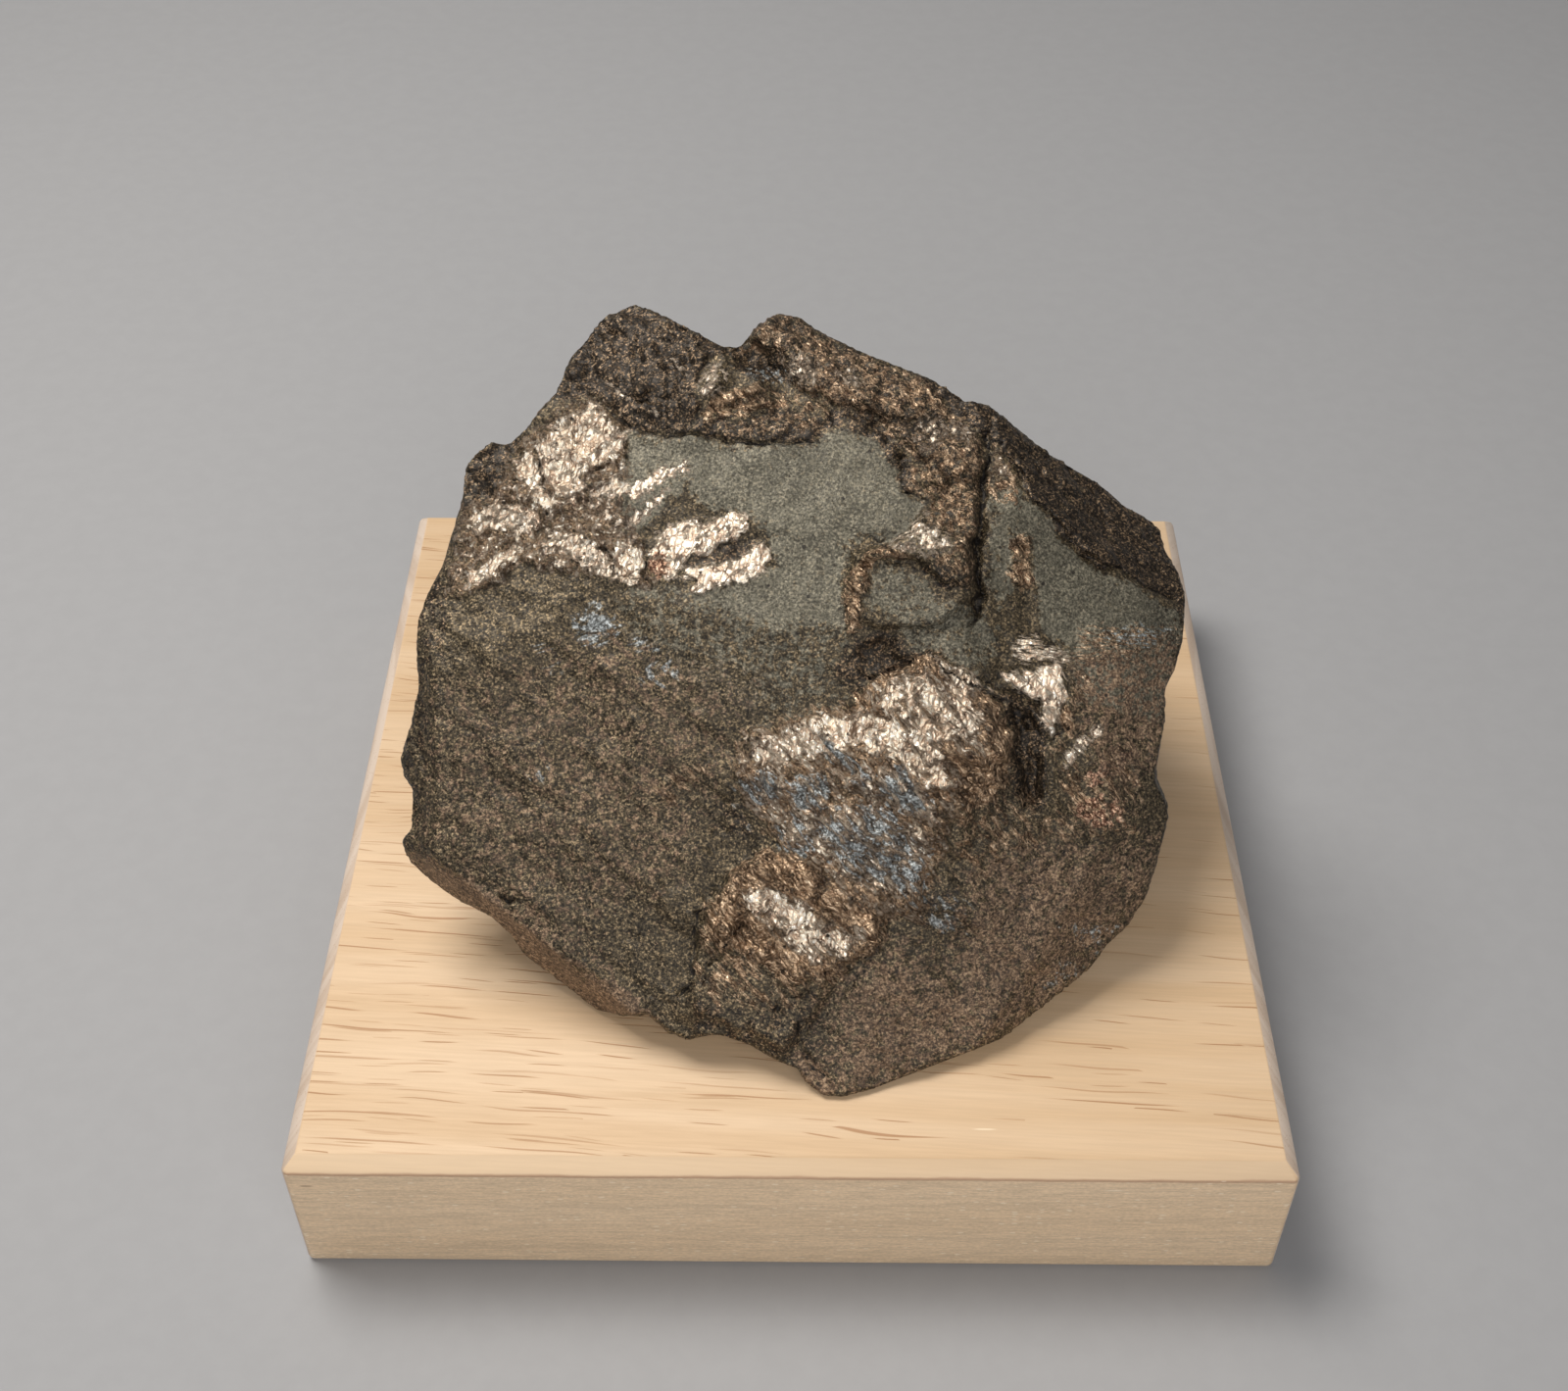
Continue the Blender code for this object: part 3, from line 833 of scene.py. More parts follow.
class NodeDesk:
    """Places nodes in a tree and joins them, for shaders and for geometry."""

    def __init__(self, tree: NodeTree) -> None:
        """Keeps the tree.

        Args:
            tree: a shader or geometry node tree.
        """
        self.tree = tree

    def add(
        self, kind: str, inputs: dict[str | int, object] | None = None, **settings: object
    ) -> Node:
        """Adds one node.

        Args:
            kind: the node's type name.
            inputs: a socket to join, or a value to set, for each input by name or number.
            **settings: the node's own properties.

        Returns:
            The node.
        """
        node = self.tree.nodes.new(kind)
        for name, value in settings.items():
            setattr(node, name, value)
        for key, value in (inputs or {}).items():
            if isinstance(value, NodeSocket):
                self.link(value, node.inputs[key])
            else:
                node.inputs[key].default_value = value
        return node

    def link(self, source: NodeSocket, target: NodeSocket) -> None:
        """Joins an output to an input."""
        self.tree.links.new(source, target)

    def group(self, tree: NodeTree, inputs: dict[str, object]) -> Node:
        """Places a shader node group with its own values."""
        return self.add("ShaderNodeGroup", inputs, node_tree=tree)

    def math(self, operation: str, first: object, second: object = 0.5) -> NodeSocket:
        """One sum on two numbers.

        Args:
            operation: the Math node's operation.
            first: a socket or a number.
            second: a socket or a number.

        Returns:
            The result's socket.
        """
        return self.add("ShaderNodeMath", {0: first, 1: second}, operation=operation).outputs[0]

    def product(self, first: object, *others: object) -> NodeSocket:
        """Two or more numbers multiplied."""
        for other in others:
            first = self.math("MULTIPLY", first, other)
        return first

    def vector(self, operation: str, first: object, second: object) -> NodeSocket:
        """One sum on two vectors, or on a vector and a number for SCALE."""
        key = "Scale" if operation == "SCALE" else 1
        inputs = {0: first, key: second}
        return self.add("ShaderNodeVectorMath", inputs, operation=operation).outputs[0]

    def unit(self, vector: object) -> NodeSocket:
        """A vector brought to length 1."""
        return self.vector("NORMALIZE", vector, (0.0, 0.0, 0.0))

    def length(self, vector: object) -> NodeSocket:
        """A vector's length."""
        node = self.add("ShaderNodeVectorMath", {0: vector}, operation="LENGTH")
        return node.outputs["Value"]

    def axes(self, vector: object) -> Sockets:
        """The sockets of a vector's three parts."""
        return self.add("ShaderNodeSeparateXYZ", {0: vector}).outputs

    def chances(self, cells: Node) -> Sockets:
        """Three random numbers for each cell, from the cells' colour."""
        return self.add("ShaderNodeSeparateColor", {0: cells.outputs["Color"]}).outputs

    def mix(self, share: object, first: object, second: object, blend: str = "MIX") -> NodeSocket:
        """A mix of two colours.

        Args:
            share: how much of the second, from 0 to 1.
            first: a colour or its socket.
            second: a colour or its socket.
            blend: the Mix node's blend type.

        Returns:
            The mixed colour's socket.
        """
        inputs = {0: share, 6: rgba(first), 7: rgba(second)}
        node = self.add("ShaderNodeMix", inputs, data_type="RGBA", blend_type=blend)
        return node.outputs[2]

    def dimmed(self, colour: object, value: object) -> NodeSocket:
        """A colour multiplied by a number."""
        grey = self.add("ShaderNodeCombineColor", {0: value, 1: value, 2: value}).outputs[0]
        return self.mix(1.0, colour, grey, "MULTIPLY")

    def blend(self, share: object, first: object, second: object) -> NodeSocket:
        """A mix of two numbers, by a share from 0 to 1."""
        return self.add("ShaderNodeMix", {0: share, 2: first, 3: second}).outputs[0]

    def ramp(
        self, value: object, low: float, high: float, start: float = 0.0, end: float = 1.0
    ) -> NodeSocket:
        """An eased ramp from start to end while the value goes from low to high.

        Args:
            value: the value's socket.
            low: value that gives start.
            high: value that gives end.
            start: result at low and below.
            end: result at high and above.

        Returns:
            The ramp's socket.
        """
        inputs = {0: value, 1: low, 2: high, 3: start, 4: end}
        node = self.add("ShaderNodeMapRange", inputs, interpolation_type="SMOOTHSTEP")
        return node.outputs[0]

    def noise(
        self, vector: object, size: float, detail: float = 2.0, roughness: float = 0.5
    ) -> NodeSocket:
        """Noise between 0 and 1 with bumps of this size, in the vector's own unit."""
        inputs = {"Vector": vector, "Scale": 1.0 / size, "Detail": detail, "Roughness": roughness}
        return self.add("ShaderNodeTexNoise", inputs).outputs[0]

    def cells(self, vector: object, scale: object, **settings: object) -> Node:
        """Cells about scattered points, this many to a unit of the vector."""
        return self.add("ShaderNodeTexVoronoi", {"Vector": vector, "Scale": scale}, **settings)

    def stretch(self, vector: object, scale: Place, turn: float = 0.0) -> NodeSocket:
        """A vector turned by degrees about Z and then scaled."""
        inputs = {"Vector": vector, "Rotation": (0.0, 0.0, math.radians(turn))}
        return self.vector("MULTIPLY", self.add("ShaderNodeMapping", inputs).outputs[0], scale)


def rgba(value: object) -> object:
    """A colour with its alpha, or the socket that was given."""
    if isinstance(value, NodeSocket):
        return value
    return (*value, 1.0)


def new_group(
    name: str, inputs: dict[str, tuple[str, object]], outputs: dict[str, str]
) -> tuple[NodeDesk, Sockets, Sockets]:
    """An empty shader node group with named sockets.

    Args:
        name: the group's name.
        inputs: socket kind and default of each input.
        outputs: socket kind of each output.

    Returns:
        The group's desk, the sockets that bring its inputs and those that take its outputs.
    """
    tree = bpy.data.node_groups.new(name, "ShaderNodeTree")
    for label, (kind, default) in inputs.items():
        socket = tree.interface.new_socket(label, in_out="INPUT", socket_type=kind)
        if default is not None:
            socket.default_value = default
    for label, kind in outputs.items():
        tree.interface.new_socket(label, in_out="OUTPUT", socket_type=kind)
    desk = NodeDesk(tree)
    return desk, desk.add("NodeGroupInput").outputs, desk.add("NodeGroupOutput").inputs


class SurfaceEffects:
    """The shader node groups that the stone, the board and the floor share, each built once."""

    def __init__(self) -> None:
        """Builds every group."""
        self.ragged = self.build_ragged()
        self.grain = self.build_grain()
        self.seams = self.build_seams()
        self.speckle = self.build_speckle()

    def build_ragged(self) -> NodeTree:
        """A painted share with its soft edge broken up into crumbs."""
        inputs = {"Share": (NUMBER, 0.0), "Crumbs": (NUMBER, 0.5), "Raggedness": (NUMBER, 0.6)}
        desk, given, result = new_group("ragged edge", inputs, {"Share": NUMBER})
        spread = desk.math("SUBTRACT", desk.ramp(given["Crumbs"], 0.3, 0.7), 0.5)
        spread = desk.product(spread, given["Raggedness"])
        # A point with none of the finish stays clear of it however strong the noise is
        held = desk.ramp(given["Share"], 0.0, 0.2)
        moved = desk.math("ADD", given["Share"], desk.product(spread, held))
        desk.link(desk.ramp(moved, 0.3, 0.75), result["Share"])
        return desk.tree

    def build_grain(self) -> NodeTree:
        """Crystal grains: a random value for each, and a normal that each turns its own way."""
        inputs = {"Vector": (VECTOR, None), "Size": (NUMBER, 0.3), "Tilt": (NUMBER, 0.5)}
        outputs = {"Value": NUMBER, "Normal": VECTOR}
        desk, given, result = new_group("crystal grain", inputs, outputs)
        cells = desk.cells(given["Vector"], desk.math("DIVIDE", 1.0, given["Size"]))
        turned = desk.vector("SUBTRACT", cells.outputs["Color"], NOISE_MIDDLE)
        turned = desk.vector("SCALE", turned, given["Tilt"])
        normal = desk.add("ShaderNodeNewGeometry").outputs["Normal"]
        desk.link(desk.chances(cells)[0], result["Value"])
        desk.link(desk.unit(desk.vector("ADD", normal, turned)), result["Normal"])
        return desk.tree

    def build_seams(self) -> NodeTree:
        """Thin dark seams between flakes, wavy and of uneven width."""
        inputs = {
            "Vector": (VECTOR, None),
            "Size": (NUMBER, 1.0),
            "Width": (NUMBER, 0.06),
            "Wave": (NUMBER, 0.3),
        }
        outputs = {"Seam": NUMBER, "Flake": NUMBER, "Rise": NUMBER}
        desk, given, result = new_group("flake seams", inputs, outputs)
        drifting = {"Vector": given["Vector"], "Scale": 1.1, "Detail": 2.0}
        noise = desk.add("ShaderNodeTexNoise", drifting).outputs
        drift = desk.vector("SUBTRACT", noise["Color"], NOISE_MIDDLE)
        drift = desk.vector("SCALE", drift, given["Wave"])
        place = desk.vector("ADD", given["Vector"], drift)
        scale = desk.math("DIVIDE", 1.0, given["Size"])
        inward = desk.cells(place, scale, feature="DISTANCE_TO_EDGE").outputs["Distance"]
        wide = desk.product(given["Width"], desk.ramp(noise[0], 0.35, 0.65))
        # The small number keeps the division sound where a seam has no width
        share = desk.math("DIVIDE", inward, desk.math("ADD", wide, 0.004))
        desk.link(desk.ramp(share, 0.4, 1.0, 1.0, 0.0), result["Seam"])
        desk.link(desk.chances(desk.cells(place, scale))[0], result["Flake"])
        desk.link(desk.math("MINIMUM", desk.product(inward, 2.6), 1.0), result["Rise"])
        return desk.tree

    def build_speckle(self) -> NodeTree:
        """Fine mottling: a number that wanders about 1."""
        inputs = {"Vector": (VECTOR, None), "Size": (NUMBER, 1.0), "Contrast": (NUMBER, 0.3)}
        desk, given, result = new_group("fine mottling", inputs, {"Value": NUMBER})
        scale = desk.math("DIVIDE", 1.0, given["Size"])
        speckles = {"Vector": given["Vector"], "Scale": scale, "Detail": 4.0, "Roughness": 0.6}
        noise = desk.add("ShaderNodeTexNoise", speckles).outputs[0]
        swing = desk.math("SUBTRACT", desk.ramp(noise, 0.3, 0.7), 0.5)
        swing = desk.product(swing, given["Contrast"])
        desk.link(desk.math("ADD", swing, 1.0), result["Value"])
        return desk.tree

    def mottling(self, desk: NodeDesk, vector: object, size: float, contrast: float) -> NodeSocket:
        """Fine mottling placed in a material.

        Args:
            desk: the material's desk.
            vector: the vector that it follows.
            size: width of its speckles, in the vector's own unit.
            contrast: how far it swings about 1.

        Returns:
            The number's socket.
        """
        inputs = {"Vector": vector, "Size": size, "Contrast": contrast}
        return desk.group(self.speckle, inputs).outputs[0]


def new_material(name: str) -> tuple[Material, NodeDesk, Node]:
    """A material with a Principled shader.

    Args:
        name: the material's name.

    Returns:
        The material, its desk and its shader node.
    """
    material = bpy.data.materials.new(name)
    material.use_nodes = True
    desk = NodeDesk(material.node_tree)
    return material, desk, material.node_tree.nodes["Principled BSDF"]


def merged_copy(node: str) -> Mesh:
    """A copy of a CAD node's mesh with its loose triangles joined."""
    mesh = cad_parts[node].data.copy()
    bm = bmesh.new()
    bm.from_mesh(mesh)
    bmesh.ops.remove_doubles(bm, verts=bm.verts[:], dist=1e-6)
    bm.to_mesh(mesh)
    bm.free()
    return mesh


def link_object(name: str, data: bpy.types.ID) -> Object:
    """A new object in the scene with this mesh, light or camera."""
    thing = bpy.data.objects.new(name, data)
    bpy.context.scene.collection.objects.link(thing)
    return thing


def settled(thing: Object) -> None:
    """Turns an object's modifiers into its plain mesh and removes them.

    Args:
        thing: the object, which keeps its name.
    """
    graph = bpy.context.evaluated_depsgraph_get()
    mesh = bpy.data.meshes.new_from_object(thing.evaluated_get(graph), depsgraph=graph)
    thing.modifiers.clear()
    thing.data = mesh


def read_points(mesh: Mesh) -> Array:
    """The mesh's points in mm, as rows."""
    flat = np.empty(len(mesh.vertices) * 3, np.float32)
    mesh.vertices.foreach_get("co", flat)
    return flat.reshape(-1, 3).astype(float) / MM


def read_normals(mesh: Mesh) -> Array:
    """The mesh's smooth normals at its points, as rows."""
    flat = np.empty(len(mesh.vertices) * 3, np.float32)
    mesh.vertex_normals.foreach_get("vector", flat)
    return flat.reshape(-1, 3).astype(float)


def write_points(mesh: Mesh, points: Array) -> None:
    """Moves the mesh's points to these places in mm."""
    mesh.vertices.foreach_set("co", (points * MM).astype(np.float32).ravel())
    mesh.update()


def write_share(mesh: Mesh, name: str, values: Array) -> None:
    """Keeps one number for each point under this name."""
    layer = mesh.attributes.get(name) or mesh.attributes.new(name, "FLOAT", "POINT")
    layer.data.foreach_set("value", values.astype(np.float32))


def spread_over(mesh: Mesh, values: Array, rounds: int) -> Array:
    """Numbers at the points, each averaged with its neighbours several times.

    Args:
        mesh: the mesh whose edges join the neighbours.
        values: one number for each point.
        rounds: how many times.

    Returns:
        The smoothed numbers.
    """
    ends = np.empty(len(mesh.edges) * 2, np.int32)
    mesh.edges.foreach_get("vertices", ends)
    first, second = ends.reshape(-1, 2).T
    count = len(values)
    shared = np.bincount(first, minlength=count) + np.bincount(second, minlength=count) + 1.0
    for _ in range(rounds):
        total = values + np.bincount(first, values[second], count)
        total += np.bincount(second, values[first], count)
        values = total / shared
    return values


GRAIN_SIZES = {
    "Knob Size": 1.3,
    "Knob Depth": 1.15,
    "Scoop Size": 7.0,
    "Scoop Depth": 1.5,
    "Grain Size": 0.55,
    "Grain Depth": 0.42,
}


@dataclass
class FractureGrain:
    """The Geometry Nodes tree that gives the stone its knobs, scoops and grain.

    Attributes:
        sizes: value in mm of each named size of the tree.
        seed: fixed seed of its patterns.
    """

    sizes: dict[str, float] = field(default_factory=lambda: dict(GRAIN_SIZES))
    seed: float = 5.0

    def build_tree(self) -> NodeTree:
        """Builds the tree, which moves each point along its normal.

        Returns:
            The tree, with its sizes in metres as named inputs.
        """
        tree = bpy.data.node_groups.new("fracture grain", "GeometryNodeTree")
        face = tree.interface
        face.new_socket("Geometry", in_out="INPUT", socket_type="NodeSocketGeometry")
        for name in self.sizes:
            face.new_socket(name, in_out="INPUT", socket_type="NodeSocketFloat")
        face.new_socket("Seed", in_out="INPUT", socket_type="NodeSocketFloat")
        face.new_socket("Material", in_out="INPUT", socket_type="NodeSocketMaterial")
        face.new_socket("Geometry", in_out="OUTPUT", socket_type="NodeSocketGeometry")
        desk = NodeDesk(tree)
        given = desk.add("NodeGroupInput").outputs
        place = desk.add("GeometryNodeInputPosition").outputs[0]
        knob = self.cells(desk, given, place, "Knob")
        scoop = self.cells(desk, given, place, "Scoop")
        # A knob is high at its cell's middle and a scoop is low there
        rise = desk.product(
            desk.math("SUBTRACT", 0.35, knob), given["Knob Depth"], self.share(desk, "knobbly")
        )
        dip = desk.product(
            desk.math("SUBTRACT", scoop, 0.5), given["Scoop Depth"], self.share(desk, "scooped")
        )
        rough = desk.product(
            self.ripple(desk, given, place), given["Grain Depth"], self.share(desk, "grainy")
        )
        total = desk.math("ADD", desk.math("ADD", rise, dip), rough)
        total = desk.product(total, self.share(desk, "free_to_move"))
        normal = desk.add("GeometryNodeInputNormal").outputs[0]
        offset = desk.vector("SCALE", normal, total)
        moved = desk.add(
            "GeometryNodeSetPosition", {"Geometry": given["Geometry"], "Offset": offset}
        )
        smooth = desk.add("GeometryNodeSetShadeSmooth", {"Geometry": moved.outputs[0]})
        solid = desk.add("GeometryNodeRealizeInstances", {0: smooth.outputs[0]})
        dressed = desk.add(
            "GeometryNodeSetMaterial", {0: solid.outputs[0], "Material": given["Material"]}
        )
        end = desk.add("NodeGroupOutput")
        desk.link(dressed.outputs[0], end.inputs[0])
        return tree

    def share(self, desk: NodeDesk, name: str) -> NodeSocket:
        """A painted share of the mesh, read by its name."""
        node = desk.add("GeometryNodeInputNamedAttribute", {"Name": name}, data_type="FLOAT")
        return node.outputs["Attribute"]

    def cells(self, desk: NodeDesk, given: object, place: object, name: str) -> NodeSocket:
        """Squared distance from the middle of the nearest cell, in cell sizes.

        Args:
            desk: the tree's desk.
            given: the group input's sockets.
            place: the position's socket.
            name: Knob or Scoop.

        Returns:
            The result's socket.
        """
        scale = desk.math("DIVIDE", 1.0, given[name + " Size"])
        node = desk.add(
            "ShaderNodeTexVoronoi",
            {"Vector": place, "W": given["Seed"], "Scale": scale},
            voronoi_dimensions="4D",
        )
        return desk.math("POWER", node.outputs["Distance"], 2.0)

    def ripple(self, desk: NodeDesk, given: object, place: object) -> NodeSocket:
        """Fine noise between about -0.5 and 0.5.

        Args:
            desk: the tree's desk.
            given: the group input's sockets.
            place: the position's socket.

        Returns:
            The result's socket.
        """
        scale = desk.math("DIVIDE", 1.0, given["Grain Size"])
        node = desk.add(
            "ShaderNodeTexNoise",
            {"Vector": place, "W": given["Seed"], "Scale": scale, "Detail": 2.0},
            noise_dimensions="4D",
        )
        return desk.math("SUBTRACT", node.outputs[0], 0.5)

    def put_on(self, thing: Object, material: Material) -> None:
        """Adds the tree to an object as a modifier, with its inputs set.

        Args:
            thing: the stone.
            material: its material.
        """
        tree = self.build_tree()
        modifier = thing.modifiers.new("fracture grain", "NODES")
        modifier.node_group = tree
        values = {name: size * MM for name, size in self.sizes.items()}
        values.update({"Seed": self.seed, "Material": material})
        for item in tree.interface.items_tree:
            if item.in_out == "INPUT" and item.name in values:
                modifier[item.identifier] = values[item.name]


FINISHES: dict[Finish, GrainFinish] = {
    Finish.GREEN: GrainFinish(
        ((0.040, 0.036, 0.026), (0.100, 0.093, 0.069), (0.150, 0.139, 0.105), (0.26, 0.23, 0.17)),
        (0.0, 0.42, 0.84, 1.0), 0.48, 0.4,
    ),
    # Also laid as painted shade in recesses and on faces turned from the light
    Finish.DARK: GrainFinish(
        ((0.007, 0.005, 0.0035), (0.022, 0.016, 0.0105), (0.062, 0.043, 0.027),
         (0.28, 0.19, 0.115)),
        (0.0, 0.5, 0.82, 1.0), 0.42, 0.5,
    ),
    Finish.BRONZE: GrainFinish(
        ((0.024, 0.015, 0.010), (0.125, 0.083, 0.051), (0.46, 0.32, 0.205), (1.0, 0.80, 0.59)),
        (0.0, 0.34, 0.66, 1.0), 0.36, 0.55,
    ),
    # Near white: partly a painted highlight
    Finish.FOIL_AND_HIGHLIGHT: GrainFinish(
        ((0.52, 0.35, 0.235), (0.92, 0.73, 0.56), (1.0, 0.88, 0.72), (1.0, 0.97, 0.90)),
        (0.0, 0.28, 0.6, 1.0), 0.34, 0.32,
    ),
    Finish.COPPER: GrainFinish(
        ((0.07, 0.030, 0.018), (0.27, 0.145, 0.092), (0.50, 0.31, 0.21), (0.80, 0.58, 0.42)),
        (0.0, 0.40, 0.75, 1.0), 0.38, 0.6,
    ),
    Finish.BLUE: GrainFinish(
        ((0.060, 0.061, 0.058), (0.155, 0.168, 0.170), (0.28, 0.307, 0.315), (0.54, 0.58, 0.59)),
        (0.0, 0.35, 0.72, 1.0), 0.44, 0.3,
    ),
    Finish.RUST: GrainFinish(
        ((0.036, 0.022, 0.014), (0.118, 0.076, 0.047), (0.195, 0.130, 0.082), (0.34, 0.24, 0.155)),
        (0.0, 0.45, 0.82, 1.0), 0.6, 0.15,
    ),
}
FIELD = GrainFinish(
    ((0.011, 0.0083, 0.005), (0.051, 0.039, 0.0232), (0.098, 0.0755, 0.045), (0.28, 0.21, 0.125)),
    (0.0, 0.45, 0.86, 1.0), 0.45, 0.45,
)


@dataclass
class StoneMaterial:
    """The dress of the stone: grains of every finish, mixed by the shares painted on the mesh.

    Attributes:
        effects: the shared node groups.
        coarse: size of the coarse crystal grains in mm.
        fine: size of the fine ones in mm.
        coarse_tilt: how far the coarse grains turn the light.
        fine_tilt: how far the fine ones turn it.
        streak_turn: direction in which the bronze is drawn out, in degrees.
        foil_turn: direction of the foil's flakes, in degrees.
        lobe_turn: direction of the foil's lobes, in degrees.
        foil_lean: how the foil's facets lean up towards the light.
        seam_strength: how dark the seams between flakes are.
        lobe_strength: how dark the seams between the foil's lobes are.
        grain_height: height of the finest grain in mm.
        flake_heights: height of the flakes of each finish that has them, in mm.
    """

    effects: SurfaceEffects
    coarse: float = 0.28
    fine: float = 0.14
    coarse_tilt: float = 0.26
    fine_tilt: float = 0.6
    streak_turn: float = -45.0
    foil_turn: float = 14.0
    lobe_turn: float = 24.0
    foil_lean: Place = (0.0, 0.15, 0.5)
    seam_strength: float = 0.68
    lobe_strength: float = 0.8
    grain_height: float = 0.085
    flake_heights: tuple[tuple[Finish, float], ...] = ((Finish.FOIL_AND_HIGHLIGHT, 0.13), (Finish.BRONZE, 0.2))

    def __post_init__(self) -> None:
        """Starts the material, with the place, the shares and the flakes that its layers use."""
        self.material, self.desk, self.shader = new_material("bronze ore")
        node = self.desk.add("ShaderNodeAttribute", attribute_name="face_place")
        self.place = node.outputs["Vector"]
        self.slanted = self.desk.stretch(self.place, (1.0, 0.26, 1.0), self.streak_turn)
        self.shares = self.ragged_shares(self.crumbling())
        self.flakes = self.flake_seams(self.shares[Finish.FOIL_AND_HIGHLIGHT])

    def build(self) -> Material:
        """Builds the material.

        Returns:
            The stone's one material.
        """
        desk, shader, foil = self.desk, self.shader, self.shares[Finish.FOIL_AND_HIGHLIGHT]
        coarse, fine = (
            desk.group(self.effects.grain, {"Vector": self.place, "Size": size, "Tilt": tilt})
            for size, tilt in ((self.coarse, self.coarse_tilt), (self.fine, self.fine_tilt))
        )
        grains = desk.blend(0.5, coarse.outputs["Value"], fine.outputs["Value"])
        colour, roughness, metallic = self.layered(grains)
        desk.link(self.weathered(colour), shader.inputs["Base Color"])
        desk.link(metallic, shader.inputs["Metallic"])
        duller = desk.math("ADD", roughness, desk.product(fine.outputs["Value"], 0.14))
        desk.link(duller, shader.inputs["Roughness"])
        normal = desk.vector("ADD", coarse.outputs["Normal"], fine.outputs["Normal"])
        normal = desk.vector("ADD", normal, desk.vector("SCALE", self.foil_lean, foil))
        bumped = {
            "Strength": 1.0,
            "Distance": MM,
            "Height": self.relief(),
            "Normal": desk.unit(normal),
        }
        desk.link(desk.add("ShaderNodeBump", bumped).outputs[0], shader.inputs["Normal"])
        return self.material

    def layered(self, grains: object) -> tuple[NodeSocket, NodeSocket, NodeSocket]:
        """The finishes laid over the plain field, each by its share.

        Args:
            grains: the grains' random value.

        Returns:
            The sockets of the colour, the roughness and the metallic value.
        """
        desk, place = self.desk, self.place
        crumbs = desk.ramp(desk.noise(place, 0.27, 4.0, 0.7), 0.3, 0.7)
        value = desk.ramp(desk.blend(0.5, crumbs, grains), 0.22, 0.8)
        streaks = desk.ramp(desk.noise(self.slanted, 0.7, 4.0, 0.65), 0.36, 0.66)
        colour = self.shaded(value, FIELD)
        roughness, metallic = FIELD.roughness, FIELD.metallic
        # The foil's colour is partly a painted highlight and the dark bronze's partly a painted
        # shade
        for finish, look in FINISHES.items():
            share, tone = self.shares[finish], value
            if finish in (Finish.FOIL_AND_HIGHLIGHT, Finish.BRONZE):
                tone = desk.blend(0.45, value, self.flakes.outputs["Flake"])
            if finish is Finish.BRONZE:
                tone = desk.blend(0.4, tone, streaks)
            colour = desk.mix(share, colour, self.shaded(tone, look))
            roughness = desk.blend(share, roughness, look.roughness)
            metallic = desk.blend(share, metallic, look.metallic)
        return colour, roughness, metallic

    def weathered(self, colour: object) -> NodeSocket:
        """Colour with its mottling, tint, dark seams and lobes, and painted shade in pits and
        cracks.

        Args:
            colour: the finishes' colour.

        Returns:
            The colour's socket.
        """
        desk, place = self.desk, self.place
        colour = desk.dimmed(colour, self.effects.mottling(desk, place, 5.0, 0.32))
        colour = desk.mix(1.0, colour, self.tinted(), "MULTIPLY")
        bright = desk.math("MAXIMUM", self.shares[Finish.FOIL_AND_HIGHLIGHT], self.shares[Finish.BRONZE])
        seam = desk.product(self.flakes.outputs["Seam"], bright, self.seam_strength)
        colour = desk.mix(seam, colour, SEAM_BROWN, "MULTIPLY")
        lobes = self.lobes(self.shares[Finish.FOIL_AND_HIGHLIGHT])
        colour = desk.mix(lobes, colour, LOBE_BROWN, "MULTIPLY")
        # Painted shade: small pits darkened to black
        colour = desk.mix(self.pits(), colour, PAINTED_SHADE_BLACK)
        # Painted shade in the cracks
        return desk.mix(self.shares[Finish.CRACK_SHADE], colour, PAINTED_SHADE_BLACK)

    def relief(self) -> NodeSocket:
        """Height in mm of what is too fine for the mesh: grain, and the flakes' slopes.

        Returns:
            The height's socket.
        """
        desk = self.desk
        height = desk.product(desk.noise(self.place, 0.3, 2.0, 0.6), self.grain_height)
        for finish, most in self.flake_heights:
            rise = desk.product(self.flakes.outputs["Rise"], most, self.shares[finish])
            height = desk.math("ADD", height, rise)
        return height

    def lobes(self, foil: object) -> NodeSocket:
        """The few dark seams that part the foil into lobes."""
        desk = self.desk
        way = desk.stretch(self.place, (1.0, 0.6, 1.0), self.lobe_turn)
        inputs = {"Vector": way, "Size": 2.6, "Width": 0.075, "Wave": 1.8}
        seam = desk.group(self.effects.seams, inputs).outputs["Seam"]
        return desk.product(seam, foil, self.lobe_strength)

    def pits(self) -> NodeSocket:
        """Painted shade of pits: small black dots, in under half of the cells they could lie in.
        """
        desk, place = self.desk, self.place
        cells = desk.cells(place, 0.8)
        wide = desk.ramp(desk.chances(cells)[1], 0.55, 1.0, 0.0, 0.2)
        depth = desk.math("SUBTRACT", wide, cells.outputs["Distance"])
        return desk.ramp(depth, 0.0, 0.05, 0.0, 0.85)

    def crumbling(self) -> NodeSocket:
        """The place that edges crumble by: drawn out down to the right on the lower half."""
        desk, place = self.desk, self.place
        return desk.mix(desk.ramp(desk.axes(place)[1], 2.0, 7.0, 1.0, 0.0), place, self.slanted)

    def ragged_shares(self, way: object) -> dict[Finish, NodeSocket]:
        """Each finish's painted share with a ragged edge.

        Args:
            way: the place that crumbs of what lies in streaks follow.

        Returns:
            One socket for each finish.
        """
        desk, place = self.desk, self.place
        streaked = desk.noise(way, 0.75, 3.0, 0.65)
        plain = desk.noise(place, 0.75, 3.0, 0.65)
